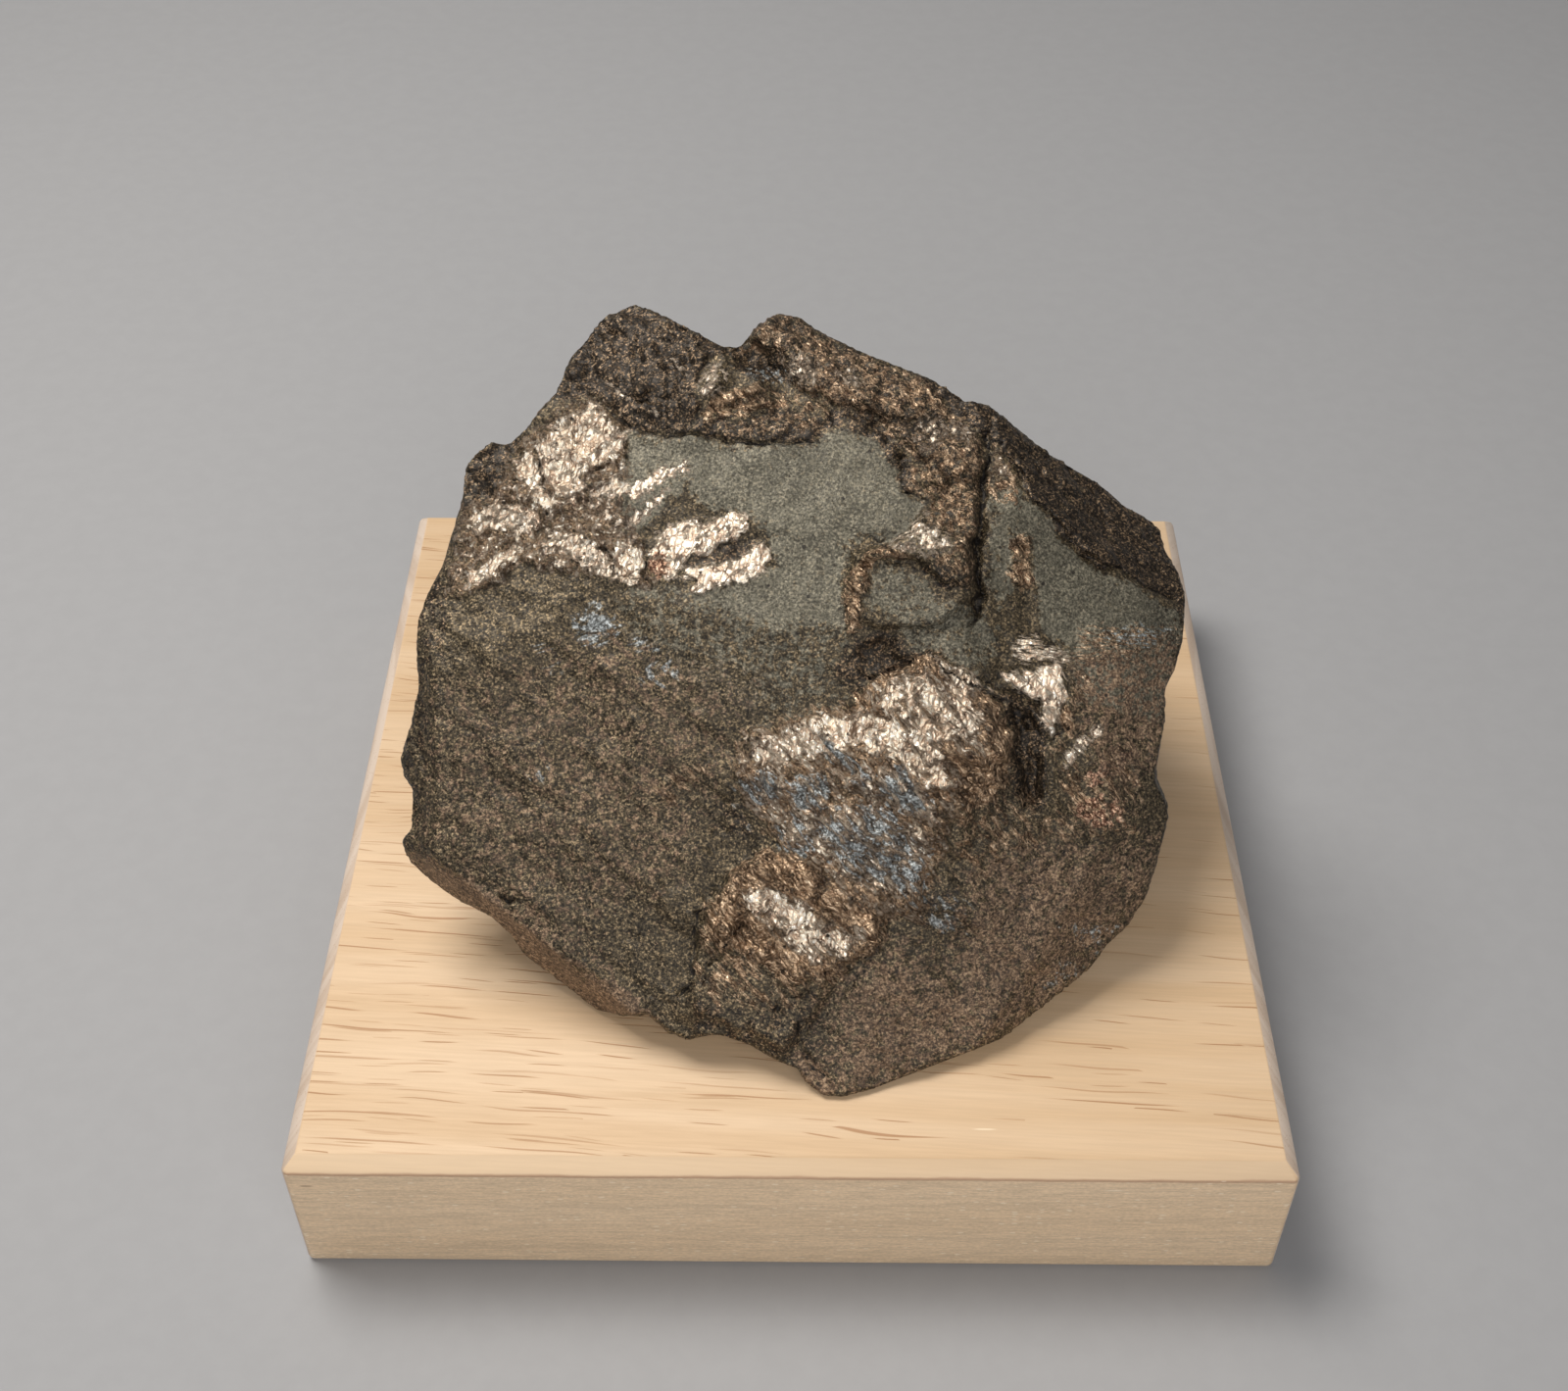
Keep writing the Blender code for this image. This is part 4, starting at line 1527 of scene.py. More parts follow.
        # Blue lies where the bright metal doesn't
        crumbs = {
            Finish.BRONZE: streaked,
            Finish.FOIL_AND_HIGHLIGHT: streaked,
            Finish.BLUE: desk.math("SUBTRACT", 1.0, streaked),
        }
        found = {}
        for finish in Finish:
            painted = desk.add("ShaderNodeAttribute", attribute_name=finish.value)
            inputs = {
                "Share": painted.outputs["Fac"],
                "Crumbs": crumbs.get(finish, plain),
                "Raggedness": 0.95,
            }
            found[finish] = desk.group(self.effects.ragged, inputs).outputs[0]
        return found

    def shaded(self, value: object, look: GrainFinish) -> NodeSocket:
        """The colour of one finish for each grain.

        Args:
            value: the grain's value.
            look: the finish.

        Returns:
            The colour's socket.
        """
        node = self.desk.add("ShaderNodeValToRGB", {0: value})
        stops = node.color_ramp.elements
        for stop, shade in zip(look.stops[1:-1], look.shades[1:-1]):
            stops.new(stop).color = (*shade, 1.0)
        stops[0].color = (*look.shades[0], 1.0)
        stops[-1].color = (*look.shades[-1], 1.0)
        return node.outputs[0]

    def tinted(self) -> NodeSocket:
        """A slight red, ochre or green tint that changes from crumb to crumb."""
        desk, place = self.desk, self.place
        fine = {"Vector": place, "Scale": 1.4, "Detail": 4.0, "Roughness": 0.75}
        fine = desk.add("ShaderNodeTexNoise", fine).outputs["Color"]
        broad = {"Vector": place, "Scale": 0.22, "Detail": 2.0}
        broad = desk.add("ShaderNodeTexNoise", broad).outputs["Color"]
        tint = desk.mix(0.5, (1.0, 1.0, 1.0), fine, "OVERLAY")
        tint = desk.mix(0.4, tint, fine, "OVERLAY")
        tint = desk.mix(0.6, tint, broad, "OVERLAY")
        return desk.vector("SCALE", desk.vector("ADD", tint, (0.35, 0.35, 0.35)), 0.86)

    def flake_seams(self, foil: object) -> Node:
        """The flakes, which stand nearly upright in the foil and lean in the bronze.

        Args:
            foil: the foil's share.

        Returns:
            The flakes' node.
        """
        desk, place = self.desk, self.place
        leaning, upright = (
            desk.stretch(place, (1.0, 0.5, 1.0), turn)
            for turn in (self.streak_turn, self.foil_turn)
        )
        way = desk.mix(foil, leaning, upright)
        inputs = {"Vector": way, "Size": 0.6, "Width": 0.2, "Wave": 0.6}
        return desk.group(self.effects.seams, inputs)


class Seed(IntEnum):
    """The seeds of the noises in the stone's shape."""

    WAVES = 21
    HOLLOWS = 31
    BACK_STEPS = 37
    WANDER_ACROSS = 41
    WANDER_UP = 47
    CRACK_WIDTH = 53
    BROAD_STEPS = 91
    SHARP_STEPS = 95
    LUMPS = 97
    CRUMBS = 99


# The patches of the sides and the back, which the photo doesn't show: their size in mm, the seed
# of their pattern, the value of its noise at which they begin, and their share
HIDDEN_PATCHES = {
    Finish.DARK: (13.0, 61, 0.0, 0.9),
    Finish.BRONZE: (9.0, 67, 0.45, 0.7),
    Finish.GREEN: (16.0, 71, 0.35, 0.8),
    Finish.RUST: (18.0, 73, 0.25, 0.8),
    Finish.BLUE: (6.0, 79, 0.75, 0.5),
}


@dataclass
class Stone:
    """The broken lump of ore.

    Attributes:
        effects: the shared node groups.
        face: the plane of its broken face.
        voxel: fineness of the remesh in mm.
        most_triangles: how many triangles it may keep.
        rest_height: height of the flat that it rests on, in mm.
        wander: how far drawn edges stray, in mm.
        waves: height of the broad waves of the broken face, in mm.
        steps: height of its broad steps in mm.
        sharp_steps: height of the steps where it is broken sharply, in mm.
        lumps: height of its rounded lumps in mm.
        sharp_lumps: how much higher they are where it is broken sharply, in mm.
        hollows: depth of the hollows in the sides and the back, in mm.
        set_back: how far the sides and the back lie inside the facets, in mm.
        back_steps: height of their steps in mm.
    """

    effects: SurfaceEffects
    face: BrokenFace
    voxel: float = 0.3
    most_triangles: int = 190_000
    rest_height: float = 18.3
    wander: float = 0.42
    waves: float = 0.35
    steps: float = 0.5
    sharp_steps: float = 0.9
    lumps: float = 0.22
    sharp_lumps: float = 1.4
    hollows: float = 1.3
    set_back: float = 1.1
    back_steps: float = 0.9

    def build(self) -> Object:
        """Builds and dresses the stone.

        Returns:
            The finished object.
        """
        thing = link_object("renierite_lump", merged_copy("renierite"))
        remesh = thing.modifiers.new("fine skin", "REMESH")
        remesh.mode = "VOXEL"
        remesh.voxel_size = self.voxel * MM
        settled(thing)
        self.carve(thing.data)
        FractureGrain().put_on(thing, StoneMaterial(self.effects).build())
        thin = thing.modifiers.new("fewer faces where flat", "DECIMATE")
        thin.ratio = min(1.0, self.most_triangles / (2.0 * len(thing.data.polygons)))
        settled(thing)
        self.paint(thing.data)
        LOG.info("%s has %d faces", thing.name, len(thing.data.polygons))
        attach(thing, "root")
        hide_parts("renierite")
        return thing

    def looks_at_eye(self, mesh: Mesh, points: Array) -> Array:
        """How far each point belongs to the broken face that the eye sees, from 0 to 1."""
        facing = np.einsum("ij,ij->i", read_normals(mesh), self.face.to_eye(points))
        return smooth_step(facing, 0.05, 0.25)

    def above_rest(self, points: Array, low: float, high: float) -> Array:
        """An eased ramp from 0 to 1 between two heights in mm over the flat that it rests on."""
        return smooth_step(points[:, 2], self.rest_height + low, self.rest_height + high)

    def carve(self, mesh: Mesh) -> None:
        """Gives the plain facets their relief and says how rough each place is.

        Args:
            mesh: the finely remeshed stone.
        """
        points, normals = read_points(mesh), read_normals(mesh)
        front = self.looks_at_eye(mesh, points)
        behind = smooth_step(spread_over(mesh, 1.0 - front, 110), 0.55, 1.0)
        free = self.above_rest(points, 0.15, 1.6)
        shares = self.painted(points, front)
        rough = self.roughness(points, front, behind, shares)
        height = self.drawn_relief(points)
        for layer in self.natural_relief(points, shares):
            height += layer
        # Displacement along the eye's ray keeps each point's place in the view, and so its share
        points = points + self.face.to_eye(points) * (height * front * free)[:, None]
        hollow = self.hollows * soft_noise(points, 15.0, Seed.HOLLOWS, 3) - self.set_back
        ledges = terraced(soft_noise(points, 9.0, Seed.BACK_STEPS, 3), 3.0)
        hollow += self.back_steps * ledges
        foot = self.above_rest(points, 0.3, 9.0)
        points += normals * (hollow * behind * foot)[:, None]
        write_points(mesh, points)
        for name, share in zip(ROUGHNESS, (*rough, free)):
            write_share(mesh, name, share)

    def drawn_relief(self, points: Array) -> Array:
        """Height in mm that the swells and cracks of the broken face give each point."""
        spots = self.wandering(points)
        height = np.zeros(len(points))
        for swell in SWELLS:
            near = near_path(spots, swell.outline, 0.1)
            inside = depth_inside(spots[near], swell.outline)
            height[near] += swell.height * smooth_step(inside, -0.1, swell.rise)
        uneven = 0.8 + 0.7 * soft_noise(points, 2.2, Seed.CRACK_WIDTH)
        for crack in CRACKS:
            near = near_path(spots, crack.line, max(0.1, 1.6 * crack.width))
            away = distance_to_line(spots[near], np.array(crack.line))
            width = np.maximum(crack.width * uneven[near], 0.1)
            height[near] -= crack.depth * (1.0 - smooth_step(away / width, 0.0, 1.0))
        return height

    def natural_relief(self, points: Array, shares: dict[Finish, Array]) -> tuple[Array, ...]:
        """The relief that no outline gives: waves, broad steps, lumps and sharp steps.

        Args:
            points: the points in mm.
            shares: each finish's share of every point.

        Returns:
            The height in mm of each layer at every point.
        """
        broken = np.maximum(0.5 * shares[Finish.DARK], shares[Finish.BRONZE])
        broken = smooth_step(broken, 0.2, 0.9)
        calm = np.maximum(shares[Finish.GREEN], shares[Finish.FOIL_AND_HIGHLIGHT])
        place = self.face.from_world(points)
        broad = terraced(streaked_noise(place, -34.0, 2.6, 9.0, Seed.BROAD_STEPS), 4.0)
        # Rounded lumps with sharp creases between them, and finer crumbs on top
        lumps = np.abs(soft_noise(place, 2.9, Seed.LUMPS, 2))
        lumps += 0.4 * np.abs(soft_noise(place, 1.3, Seed.CRUMBS, 2))
        sharp = terraced(streaked_noise(place, -40.0, 1.7, 4.6, Seed.SHARP_STEPS), 3.0)
        return (
            self.waves * soft_noise(points, 7.0, Seed.WAVES, 3),
            self.steps * broad * (1.0 - 0.7 * calm),
            lumps * (self.lumps + self.sharp_lumps * broken) * (1.0 - 0.5 * calm),
            self.sharp_steps * sharp * broken * (1.0 - 0.6 * calm),
        )

    def roughness(
        self,
        points: Array,
        front: Array,
        behind: Array,
        shares: dict[Finish, Array],
    ) -> tuple[Array, Array, Array]:
        """How knobbly, scooped and grainy each point is.

        Args:
            points: the points in mm.
            front: how far each belongs to the broken face.
            behind: how far each belongs to the sides and the back.
            shares: each finish's share of every point.

        Returns:
            The three arrays of shares.
        """
        upper = smooth_step(self.face.seen(points)[:, 1], 16.0, 22.0)
        knobbly = (0.25 + 0.25 * upper) * np.maximum(shares[Finish.DARK], shares[Finish.BRONZE])
        knobbly = np.clip(0.12 + knobbly, 0.0, 1.0) * front + 0.6 * behind
        smooth = np.maximum(shares[Finish.GREEN], 0.7 * shares[Finish.FOIL_AND_HIGHLIGHT])
        return knobbly, behind, np.clip(1.0 - 0.75 * smooth, 0.2, 1.0)

    def wandering(self, points: Array) -> Array:
        """Each point's place in the view, moved a little so that drawn edges turn out uneven."""
        flat = self.face.from_world(points) * (1.0, 1.0, 0.0)
        across = soft_noise(flat, 1.9, Seed.WANDER_ACROSS, 4)
        up = soft_noise(flat, 1.9, Seed.WANDER_UP, 4)
        return self.face.seen(points) + self.wander * np.column_stack((across, up))

    def painted(self, points: Array, front: Array) -> dict[Finish, Array]:
        """How much of each finish every point has.

        Args:
            points: the points in mm.
            front: how far each belongs to the broken face.

        Returns:
            One array of shares for each finish.
        """
        spots = self.wandering(points)
        shares = {finish: np.zeros(len(points)) for finish in Finish}
        for known, patch in ((shares[kind], one) for kind in PATCHES for one in PATCHES[kind]):
            near = near_path(spots, patch.outline, patch.edge)
            inside = depth_inside(spots[near], patch.outline)
            share = patch.share * smooth_step(inside, -patch.edge, patch.edge) * front[near]
            known[near] = np.maximum(known[near], share)
        # Cracks get a painted shade, darker the deeper the crack
        known = shares[Finish.CRACK_SHADE]
        for crack in CRACKS:
            near = near_path(spots, crack.line, crack.width)
            away = distance_to_line(spots[near], np.array(crack.line))
            dark = min(0.85, 0.5 + 0.2 * crack.depth)
            share = dark * (1.0 - smooth_step(away, 0.1 * crack.width, 0.75 * crack.width))
            known[near] = np.maximum(known[near], share * front[near])
        for finish, (size, seed, start, most) in HIDDEN_PATCHES.items():
            cloud = smooth_step(soft_noise(points, size, seed, 3), start, start + 0.4)
            shares[finish] = np.maximum(shares[finish], most * cloud * (1.0 - front))
        return shares

    def paint(self, mesh: Mesh) -> None:
        """Keeps every finish's share and the place on the face at every point.

        Args:
            mesh: the finished stone.
        """
        points = read_points(mesh)
        front = spread_over(mesh, self.looks_at_eye(mesh, points), 4)
        for finish, share in self.painted(points, front).items():
            write_share(mesh, finish.value, share)
        place = self.face.from_world(points)
        layer = mesh.attributes.new("face_place", "FLOAT_VECTOR", "POINT")
        layer.data.foreach_set("vector", place.astype(np.float32).ravel())
        for name in ROUGHNESS:
            layer = mesh.attributes.get(name)
            if layer:
                mesh.attributes.remove(layer)


@dataclass(frozen=True)
class Mark:
    """A small mark on the board.

    Attributes:
        name: what it is.
        middle: its middle in mm.
        half_sizes: half its size each way in mm.
        shade: its colour.
    """

    name: str
    middle: Place
    half_sizes: Place
    shade: Colour


MARKS: tuple[Mark, ...] = (
    Mark("dark dent", (-47.8, -50.0, 14.4), (0.9, 0.5, 0.16), (0.16, 0.10, 0.06)),
    Mark("pale scratch in front", (32.0, -50.0, 14.7), (1.3, 0.5, 0.12), (0.85, 0.74, 0.58)),
    Mark("pale scratch on top", (19.3, -45.2, 18.0), (1.5, 0.14, 0.5), (0.86, 0.72, 0.52)),
)


# The pore dashes: length of a dash's cell, width of the dash and width of the cell, in mm
DASHES = ((18.0, 0.12, 2.6), (10.0, 0.1, 1.7), (5.5, 0.07, 1.7))


@dataclass(frozen=True)
class WoodFinish:
    """The colours of the board's wood.

    Attributes:
        dark_band: the darker bands along the grain.
        light_band: the lighter ones.
        pore: the dashes on top.
        side: the front and back faces.
        side_streak: their level streaks.
        side_fleck: their tiny flecks.
        chamfer: the slanted rim, made paler as a painted highlight.
        rim_line: the thin line below it.
        dark_ring: the darker growth rings at both ends.
        light_ring: the lighter ones.
        end_pore: the dots between them.
    """

    dark_band: Colour = (0.60, 0.42, 0.252)
    light_band: Colour = (0.665, 0.49, 0.32)
    pore: Colour = (0.37, 0.185, 0.08)
    side: Colour = (0.76, 0.585, 0.40)
    side_streak: Colour = (0.42, 0.33, 0.23)
    side_fleck: Colour = (0.80, 0.68, 0.52)
    chamfer: Colour = (0.70, 0.55, 0.385)
    rim_line: Colour = (0.40, 0.24, 0.15)
    dark_ring: Colour = (0.52, 0.41, 0.325)
    light_ring: Colour = (0.63, 0.53, 0.45)
    end_pore: Colour = (0.40, 0.25, 0.15)


@dataclass
class WoodMaterial:
    """Pale wood with brown pore dashes along X, end grain at both ends and a few small marks.

    Attributes:
        effects: the shared node groups.
        finish: its colours.
        grain_turn: how far the bands and fibres are turned from X, in degrees.
        pore_turn: how far the pore dashes are, in degrees.
        rim_height: height of the brown line below the chamfer, in mm.
        to_heart: from the growth rings' middle, below the board, to its own, in mm.
        bump_depth: depth of the fibres and pores, in mm.
    """

    effects: SurfaceEffects
    finish: WoodFinish = WoodFinish()
    grain_turn: float = 3.0
    pore_turn: float = 4.5
    rim_height: float = 16.62
    to_heart: Place = (0.0, -12.0, 46.0)
    bump_depth: float = 0.06

    def __post_init__(self) -> None:
        """Starts the material and finds the place in mm that its patterns follow."""
        self.material, self.desk, self.shader = new_material("pale wood")
        coords = self.desk.add("ShaderNodeTexCoord").outputs["Object"]
        self.place = self.desk.vector("SCALE", coords, 1.0 / MM)

    def build(self) -> Material:
        """Builds the material.

        Returns:
            The board's one material.
        """
        desk, place, shader = self.desk, self.place, self.shader
        facing = desk.axes(desk.add("ShaderNodeNewGeometry").outputs["True Normal"])
        end = desk.ramp(desk.math("ABSOLUTE", facing[0]), 0.5, 0.75)
        front = desk.ramp(desk.math("ABSOLUTE", facing[1]), 0.8, 0.95)
        pores = desk.product(self.pores(), desk.ramp(facing[2], 0.8, 0.95))
        fibres = desk.stretch(place, (0.12, 3.0, 3.0), self.grain_turn)
        fibre = self.effects.mottling(desk, fibres, 1.0, 0.08)
        along = self.along_grain(fibre, pores)
        along = self.sides(along, front)
        along = self.rims(along, facing[2])
        colour = desk.mix(end, along, self.end_grain())
        flecks = desk.product(front, self.side_flecks())
        colour = desk.mix(flecks, colour, self.finish.side_fleck)
        for mark in MARKS:
            colour = desk.mix(self.marked(mark), colour, mark.shade)
        desk.link(colour, shader.inputs["Base Color"])
        desk.link(desk.ramp(fibre, 0.9, 1.1, 0.62, 0.52), shader.inputs["Roughness"])
        height = desk.math("SUBTRACT", desk.product(fibre, 0.5), pores)
        bumped = {"Strength": 0.5, "Distance": self.bump_depth * MM, "Height": height}
        desk.link(desk.add("ShaderNodeBump", bumped).outputs[0], shader.inputs["Normal"])
        return self.material

    def along_grain(self, fibre: object, pores: object) -> NodeSocket:
        """The wood's bands, fibres and pore dashes.

        Args:
            fibre: the fibres' mottling.
            pores: 1 on a pore dash and 0 off it.

        Returns:
            The colour's socket.
        """
        desk, place = self.desk, self.place
        bands = desk.noise(desk.stretch(place, (0.02, 0.35, 0.35), self.grain_turn), 1.6, 3.0)
        shade = desk.ramp(bands, 0.3, 0.7)
        colour = desk.mix(shade, self.finish.dark_band, self.finish.light_band)
        colour = desk.dimmed(colour, fibre)
        return desk.mix(desk.product(pores, 0.85), colour, self.finish.pore)

    def sides(self, colour: object, front: object) -> NodeSocket:
        """The duller front and back faces laid over the colour.

        Args:
            colour: the wood's colour.
            front: 1 on those two faces.

        Returns:
            The colour's socket.
        """
        desk, place = self.desk, self.place
        streaks = desk.product(self.side_streaks(), front, 0.4)
        colour = desk.mix(desk.product(front, 0.65), colour, self.finish.side)
        colour = desk.mix(streaks, colour, self.finish.side_streak)
        crumbs = self.effects.mottling(desk, desk.stretch(place, (1.0, 1.0, 2.2)), 0.5, 0.3)
        return desk.mix(desk.product(front, 0.7), colour, desk.dimmed(colour, crumbs))

    def rims(self, colour: object, upward: object) -> NodeSocket:
        """The chamfer lightened by a painted highlight, and the thin brown line below it, wavering
        and broken.

        Args:
            colour: the wood's colour.
            upward: how far the surface faces up.

        Returns:
            The colour's socket.
        """
        desk, place = self.desk, self.place
        # Painted highlight: the slanted rim is lightened towards the chamfer colour
        off_slant = desk.math("ABSOLUTE", desk.math("SUBTRACT", upward, 0.707))
        slant = desk.ramp(off_slant, 0.05, 0.15, 1.0, 0.0)
        colour = desk.mix(desk.product(slant, 0.35), colour, self.finish.chamfer)
        waver = desk.noise(desk.stretch(place, (0.25, 0.25, 0.0)), 1.0, 3.0)
        height = desk.math("ADD", desk.axes(place)[2], desk.product(waver, 0.35))
        away = desk.math("ABSOLUTE", desk.math("SUBTRACT", height, self.rim_height))
        return desk.mix(desk.ramp(away, 0.06, 0.26, 0.75, 0.0), colour, self.finish.rim_line)

    def pores(self) -> NodeSocket:
        """Thin tapered dashes along the grain, each at its own place in a long narrow cell.

        Returns:
            1 on a dash and 0 off it.
        """
        desk, place = self.desk, self.place
        drift = desk.noise(desk.stretch(place, (0.06, 0.25, 0.25)), 1.0, 1.0)
        lift = desk.add("ShaderNodeCombineXYZ", {1: desk.product(drift, 2.2)}).outputs[0]
        turned = desk.vector("ADD", desk.stretch(place, (1.0, 1.0, 1.0), self.pore_turn), lift)
        # There are more dashes towards the left end
        least = desk.ramp(desk.axes(place)[0], -50.0, 45.0, 0.34, 0.76)
        found = None
        for length, width, gap in DASHES:
            cell = desk.vector("MULTIPLY", turned, (1.0 / length, 1.0 / gap, 0.0))
            cell = desk.vector("ADD", cell, (length, gap, 0.0))
            node = desk.cells(cell, 1.0, voronoi_dimensions="2D")
            away = desk.vector("SUBTRACT", cell, node.outputs["Position"])
            away = desk.length(desk.vector("MULTIPLY", away, (2.4, gap / width, 0.0)))
            chances = desk.chances(node)
            kept = desk.math("GREATER_THAN", chances[0], least)
            strong = desk.ramp(chances[1], 0.0, 1.0, 0.35, 1.0)
            dash = desk.product(desk.ramp(away, 0.5, 1.05, 1.0, 0.0), kept, strong)
            found = dash if found is None else desk.math("MAXIMUM", found, dash)
        return found

    def side_streaks(self) -> NodeSocket:
        """Short faint level streaks of the front and back faces, from 0 to 1."""
        desk, place = self.desk, self.place
        fine = desk.noise(desk.stretch(place, (0.35, 0.35, 5.0)), 1.0, 3.0, 0.6)
        broad = desk.noise(desk.stretch(place, (0.02, 0.02, 0.6)), 1.0, 2.0)
        return desk.ramp(desk.math("ADD", fine, desk.product(broad, 0.5)), 0.62, 0.9)

    def end_grain(self) -> NodeSocket:
        """The paler, pinkish ends of the board, with growth rings and pore dots.

        Returns:
            The colour's socket.
        """
        desk, place = self.desk, self.place
        from_heart = desk.vector("MULTIPLY", desk.vector("ADD", place, self.to_heart), (0, 1, 1))
        polar = {0: desk.length(from_heart), 1: desk.axes(place)[1]}
        ring = desk.add("ShaderNodeCombineXYZ", polar).outputs[0]
        rings = desk.ramp(desk.noise(desk.stretch(ring, (0.9, 0.03, 1.0)), 1.0, 3.0), 0.35, 0.65)
        colour = desk.mix(rings, self.finish.dark_ring, self.finish.light_ring)
        dots = desk.ramp(desk.cells(place, 2.2).outputs["Distance"], 0.12, 0.22, 0.6, 0.0)
        return desk.mix(dots, colour, self.finish.end_pore)

    def marked(self, mark: Mark) -> NodeSocket:
        """How far one place is marked, from 0 to 1."""
        desk, place = self.desk, self.place
        away = desk.vector("SUBTRACT", place, mark.middle)
        away = desk.vector("MULTIPLY", away, tuple(1.0 / half for half in mark.half_sizes))
        return desk.ramp(desk.length(away), 0.4, 1.0, 0.7, 0.0)

    def side_flecks(self) -> NodeSocket:
        """Tiny pale flecks of the front and back faces."""
        desk, place = self.desk, self.place
        cells = desk.cells(desk.stretch(place, (0.75, 0.75, 2.2)), 1.0)
        wide = desk.ramp(desk.chances(cells)[0], 0.3, 1.0, 0.02, 0.3)
        inward = desk.math("SUBTRACT", wide, cells.outputs["Distance"])
        return desk.ramp(inward, 0.0, 0.1, 0.0, 0.75)


@dataclass
class WoodenBoard:
    """The square board that the stone stands on.

    Attributes:
        effects: the shared node groups.
        softening: how far its sharp edges are worn, in mm.
        sharp: angle in degrees from which an edge counts as sharp.
    """

    effects: SurfaceEffects
    softening: float = 0.22
    sharp: float = 28.0

    def build(self) -> Object:
        """Builds and dresses the board.

        Returns:
            The finished object.
        """
        thing = link_object("display_board", merged_copy("wooden_block"))
        flat = thing.modifiers.new("join flat faces", "DECIMATE")
        flat.decimate_type = "DISSOLVE"
        flat.angle_limit = math.radians(1.0)
        soft = thing.modifiers.new("worn edges", "BEVEL")
        soft.width = self.softening * MM
        soft.segments = 3
        soft.limit_method = "ANGLE"
        soft.angle_limit = math.radians(self.sharp)
        soft.harden_normals = True
        settled(thing)
        for polygon in thing.data.polygons:
            polygon.use_smooth = True
        thing.data.materials.clear()
        thing.data.materials.append(WoodMaterial(self.effects).build())
        LOG.info("%s has %d faces", thing.name, len(thing.data.polygons))
        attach(thing, "root")
        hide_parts("wooden_block")
        return thing


@dataclass(frozen=True)
class SoftLight:
    """A square area light that points at the stone.

    Attributes:
        name: what it stands for.
        place: where it hangs, in mm.
        size: its side in mm.
        power: its power in watts.
        tint: its colour.
    """

    name: str
    place: Place
    size: float
    power: float
    tint: Colour


LIGHTS: tuple[SoftLight, ...] = (
    SoftLight("window overhead", (-190.0, 110.0, 500.0), 270.0, 2.9, (1.0, 0.95, 0.88)),
    SoftLight("fill from the front", (40.0, -430.0, 260.0), 420.0, 1.25, (1.0, 0.96, 0.92)),
)


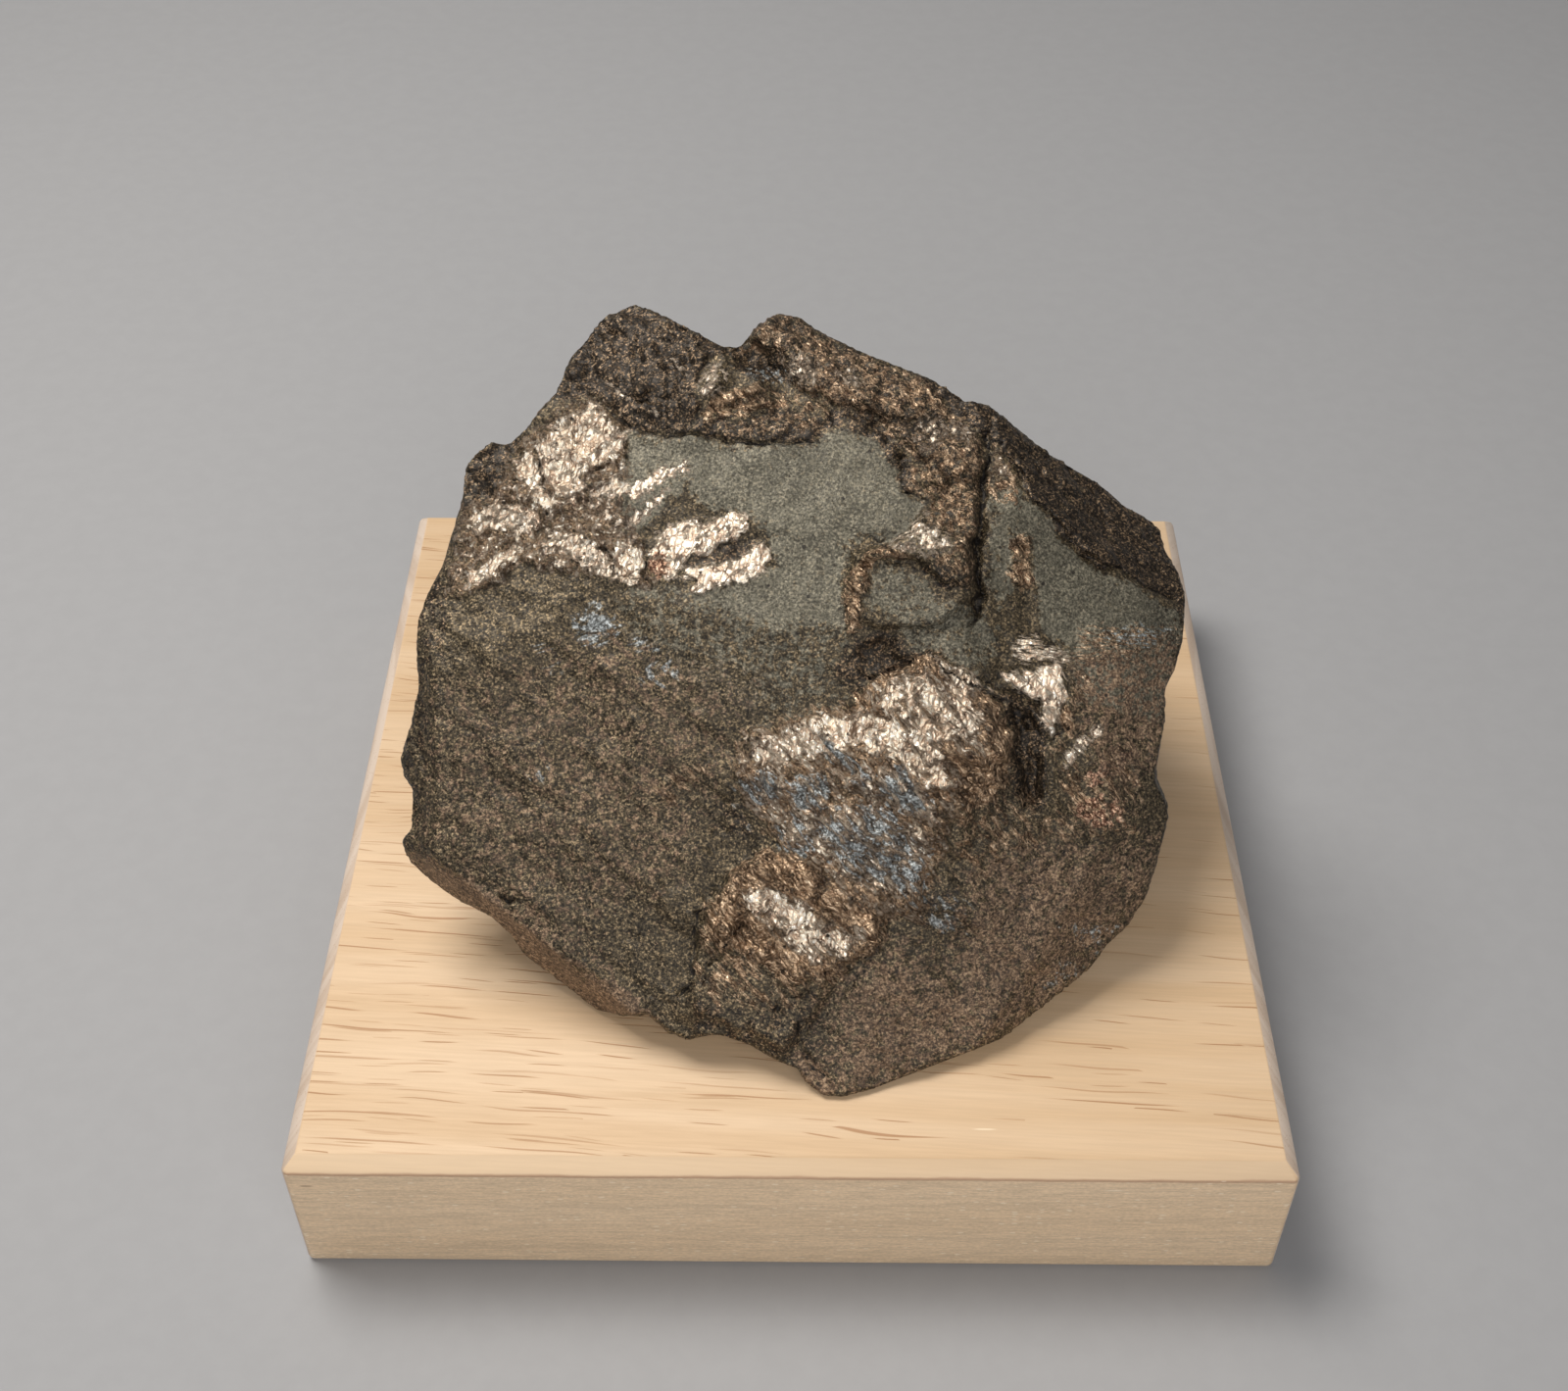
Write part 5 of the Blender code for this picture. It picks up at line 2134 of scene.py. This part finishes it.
@dataclass
class Studio:
    """Floor, soft lights and camera.

    Attributes:
        effects: the shared node groups.
        eye: the camera's place in mm.
        yaw: how far it looks to the left, in degrees.
        pitch: how far it looks down, in degrees.
        roll: how far it is tipped, in degrees.
        lens: its focal length in mm.
        sensor: its sensor's width in mm.
        floor_half: half the floor's width in mm.
        floor_tint: the floor's colour.
        room_tint: colour of the dim room.
        room_strength: how bright the room is.
        aim: the place that the lights point at, in mm.
    """

    effects: SurfaceEffects
    eye: Place = (0.99424, -157.81841, 190.17917)
    yaw: float = -0.72639
    pitch: float = 44.79834
    roll: float = -0.19304
    lens: float = 46.634
    sensor: float = 36.0
    floor_half: float = 1500.0
    floor_tint: Colour = (0.33, 0.335, 0.35)
    room_tint: Colour = (0.92, 0.92, 0.93)
    room_strength: float = 0.2
    aim: Place = (0.0, 0.0, 30.0)

    def build(self) -> None:
        """Builds all of it."""
        self.build_floor()
        self.build_room()
        for light in LIGHTS:
            self.hang(light)
        self.build_camera()

    def build_floor(self) -> None:
        """A plain pale floor."""
        mesh = bpy.data.meshes.new("floor")
        half = self.floor_half * MM
        corners = [(-half, -half, 0), (half, -half, 0), (half, half, 0), (-half, half, 0)]
        mesh.from_pydata(corners, [], [(0, 1, 2, 3)])
        floor = link_object("floor", mesh)
        material, desk, shader = new_material("pale floor")
        coords = desk.add("ShaderNodeTexCoord").outputs["Object"]
        place = desk.vector("SCALE", coords, 1.0 / MM)
        colour = desk.dimmed(self.floor_tint, self.effects.mottling(desk, place, 3.0, 0.03))
        desk.link(colour, shader.inputs["Base Color"])
        shader.inputs["Roughness"].default_value = 0.75
        mesh.materials.append(material)

    def build_room(self) -> None:
        """The dim even light of the room."""
        world = bpy.data.worlds.new("soft room")
        world.use_nodes = True
        backdrop = world.node_tree.nodes["Background"]
        backdrop.inputs[0].default_value = rgba(self.room_tint)
        backdrop.inputs[1].default_value = self.room_strength
        bpy.context.scene.world = world

    def hang(self, light: SoftLight) -> None:
        """Hangs one light and points it at the stone.

        Args:
            light: its place, size, power and colour.
        """
        data = bpy.data.lights.new(light.name, "AREA")
        data.size = light.size * MM
        data.energy = light.power
        data.color = light.tint
        lamp = link_object(light.name, data)
        lamp.location = Vector(light.place) * MM
        away = Vector(self.aim) * MM - lamp.location
        lamp.rotation_euler = away.to_track_quat("-Z", "Y").to_euler()

    def build_camera(self) -> None:
        """The camera, looking down at the broken face."""
        yaw, pitch, roll = (math.radians(angle) for angle in (self.yaw, self.pitch, self.roll))
        forward = Vector(
            (math.sin(yaw) * math.cos(pitch), math.cos(yaw) * math.cos(pitch), -math.sin(pitch))
        )
        right = Vector((math.cos(yaw), -math.sin(yaw), 0.0))
        upward = right.cross(forward)
        across = math.cos(roll) * right + math.sin(roll) * upward
        upward = -math.sin(roll) * right + math.cos(roll) * upward
        data = bpy.data.cameras.new("camera")
        data.sensor_width = self.sensor
        data.lens = self.lens
        data.clip_start = 0.01
        camera = link_object("camera", data)
        matrix = Matrix((across, upward, -forward)).transposed().to_4x4()
        matrix.translation = Vector(self.eye) * MM
        camera.matrix_world = matrix
        bpy.context.scene.camera = camera


def main() -> None:
    """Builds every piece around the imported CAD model."""
    logging.basicConfig(level=logging.INFO, format="%(name)s: %(message)s")
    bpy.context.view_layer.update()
    effects = SurfaceEffects()
    for piece in (WoodenBoard(effects), Stone(effects, BrokenFace())):
        built = piece.build()
        LOG.info("built %s", built.name)
    Studio(effects).build()
    bpy.context.scene.view_settings.view_transform = "Standard"


if __name__ == "__main__":
    main()
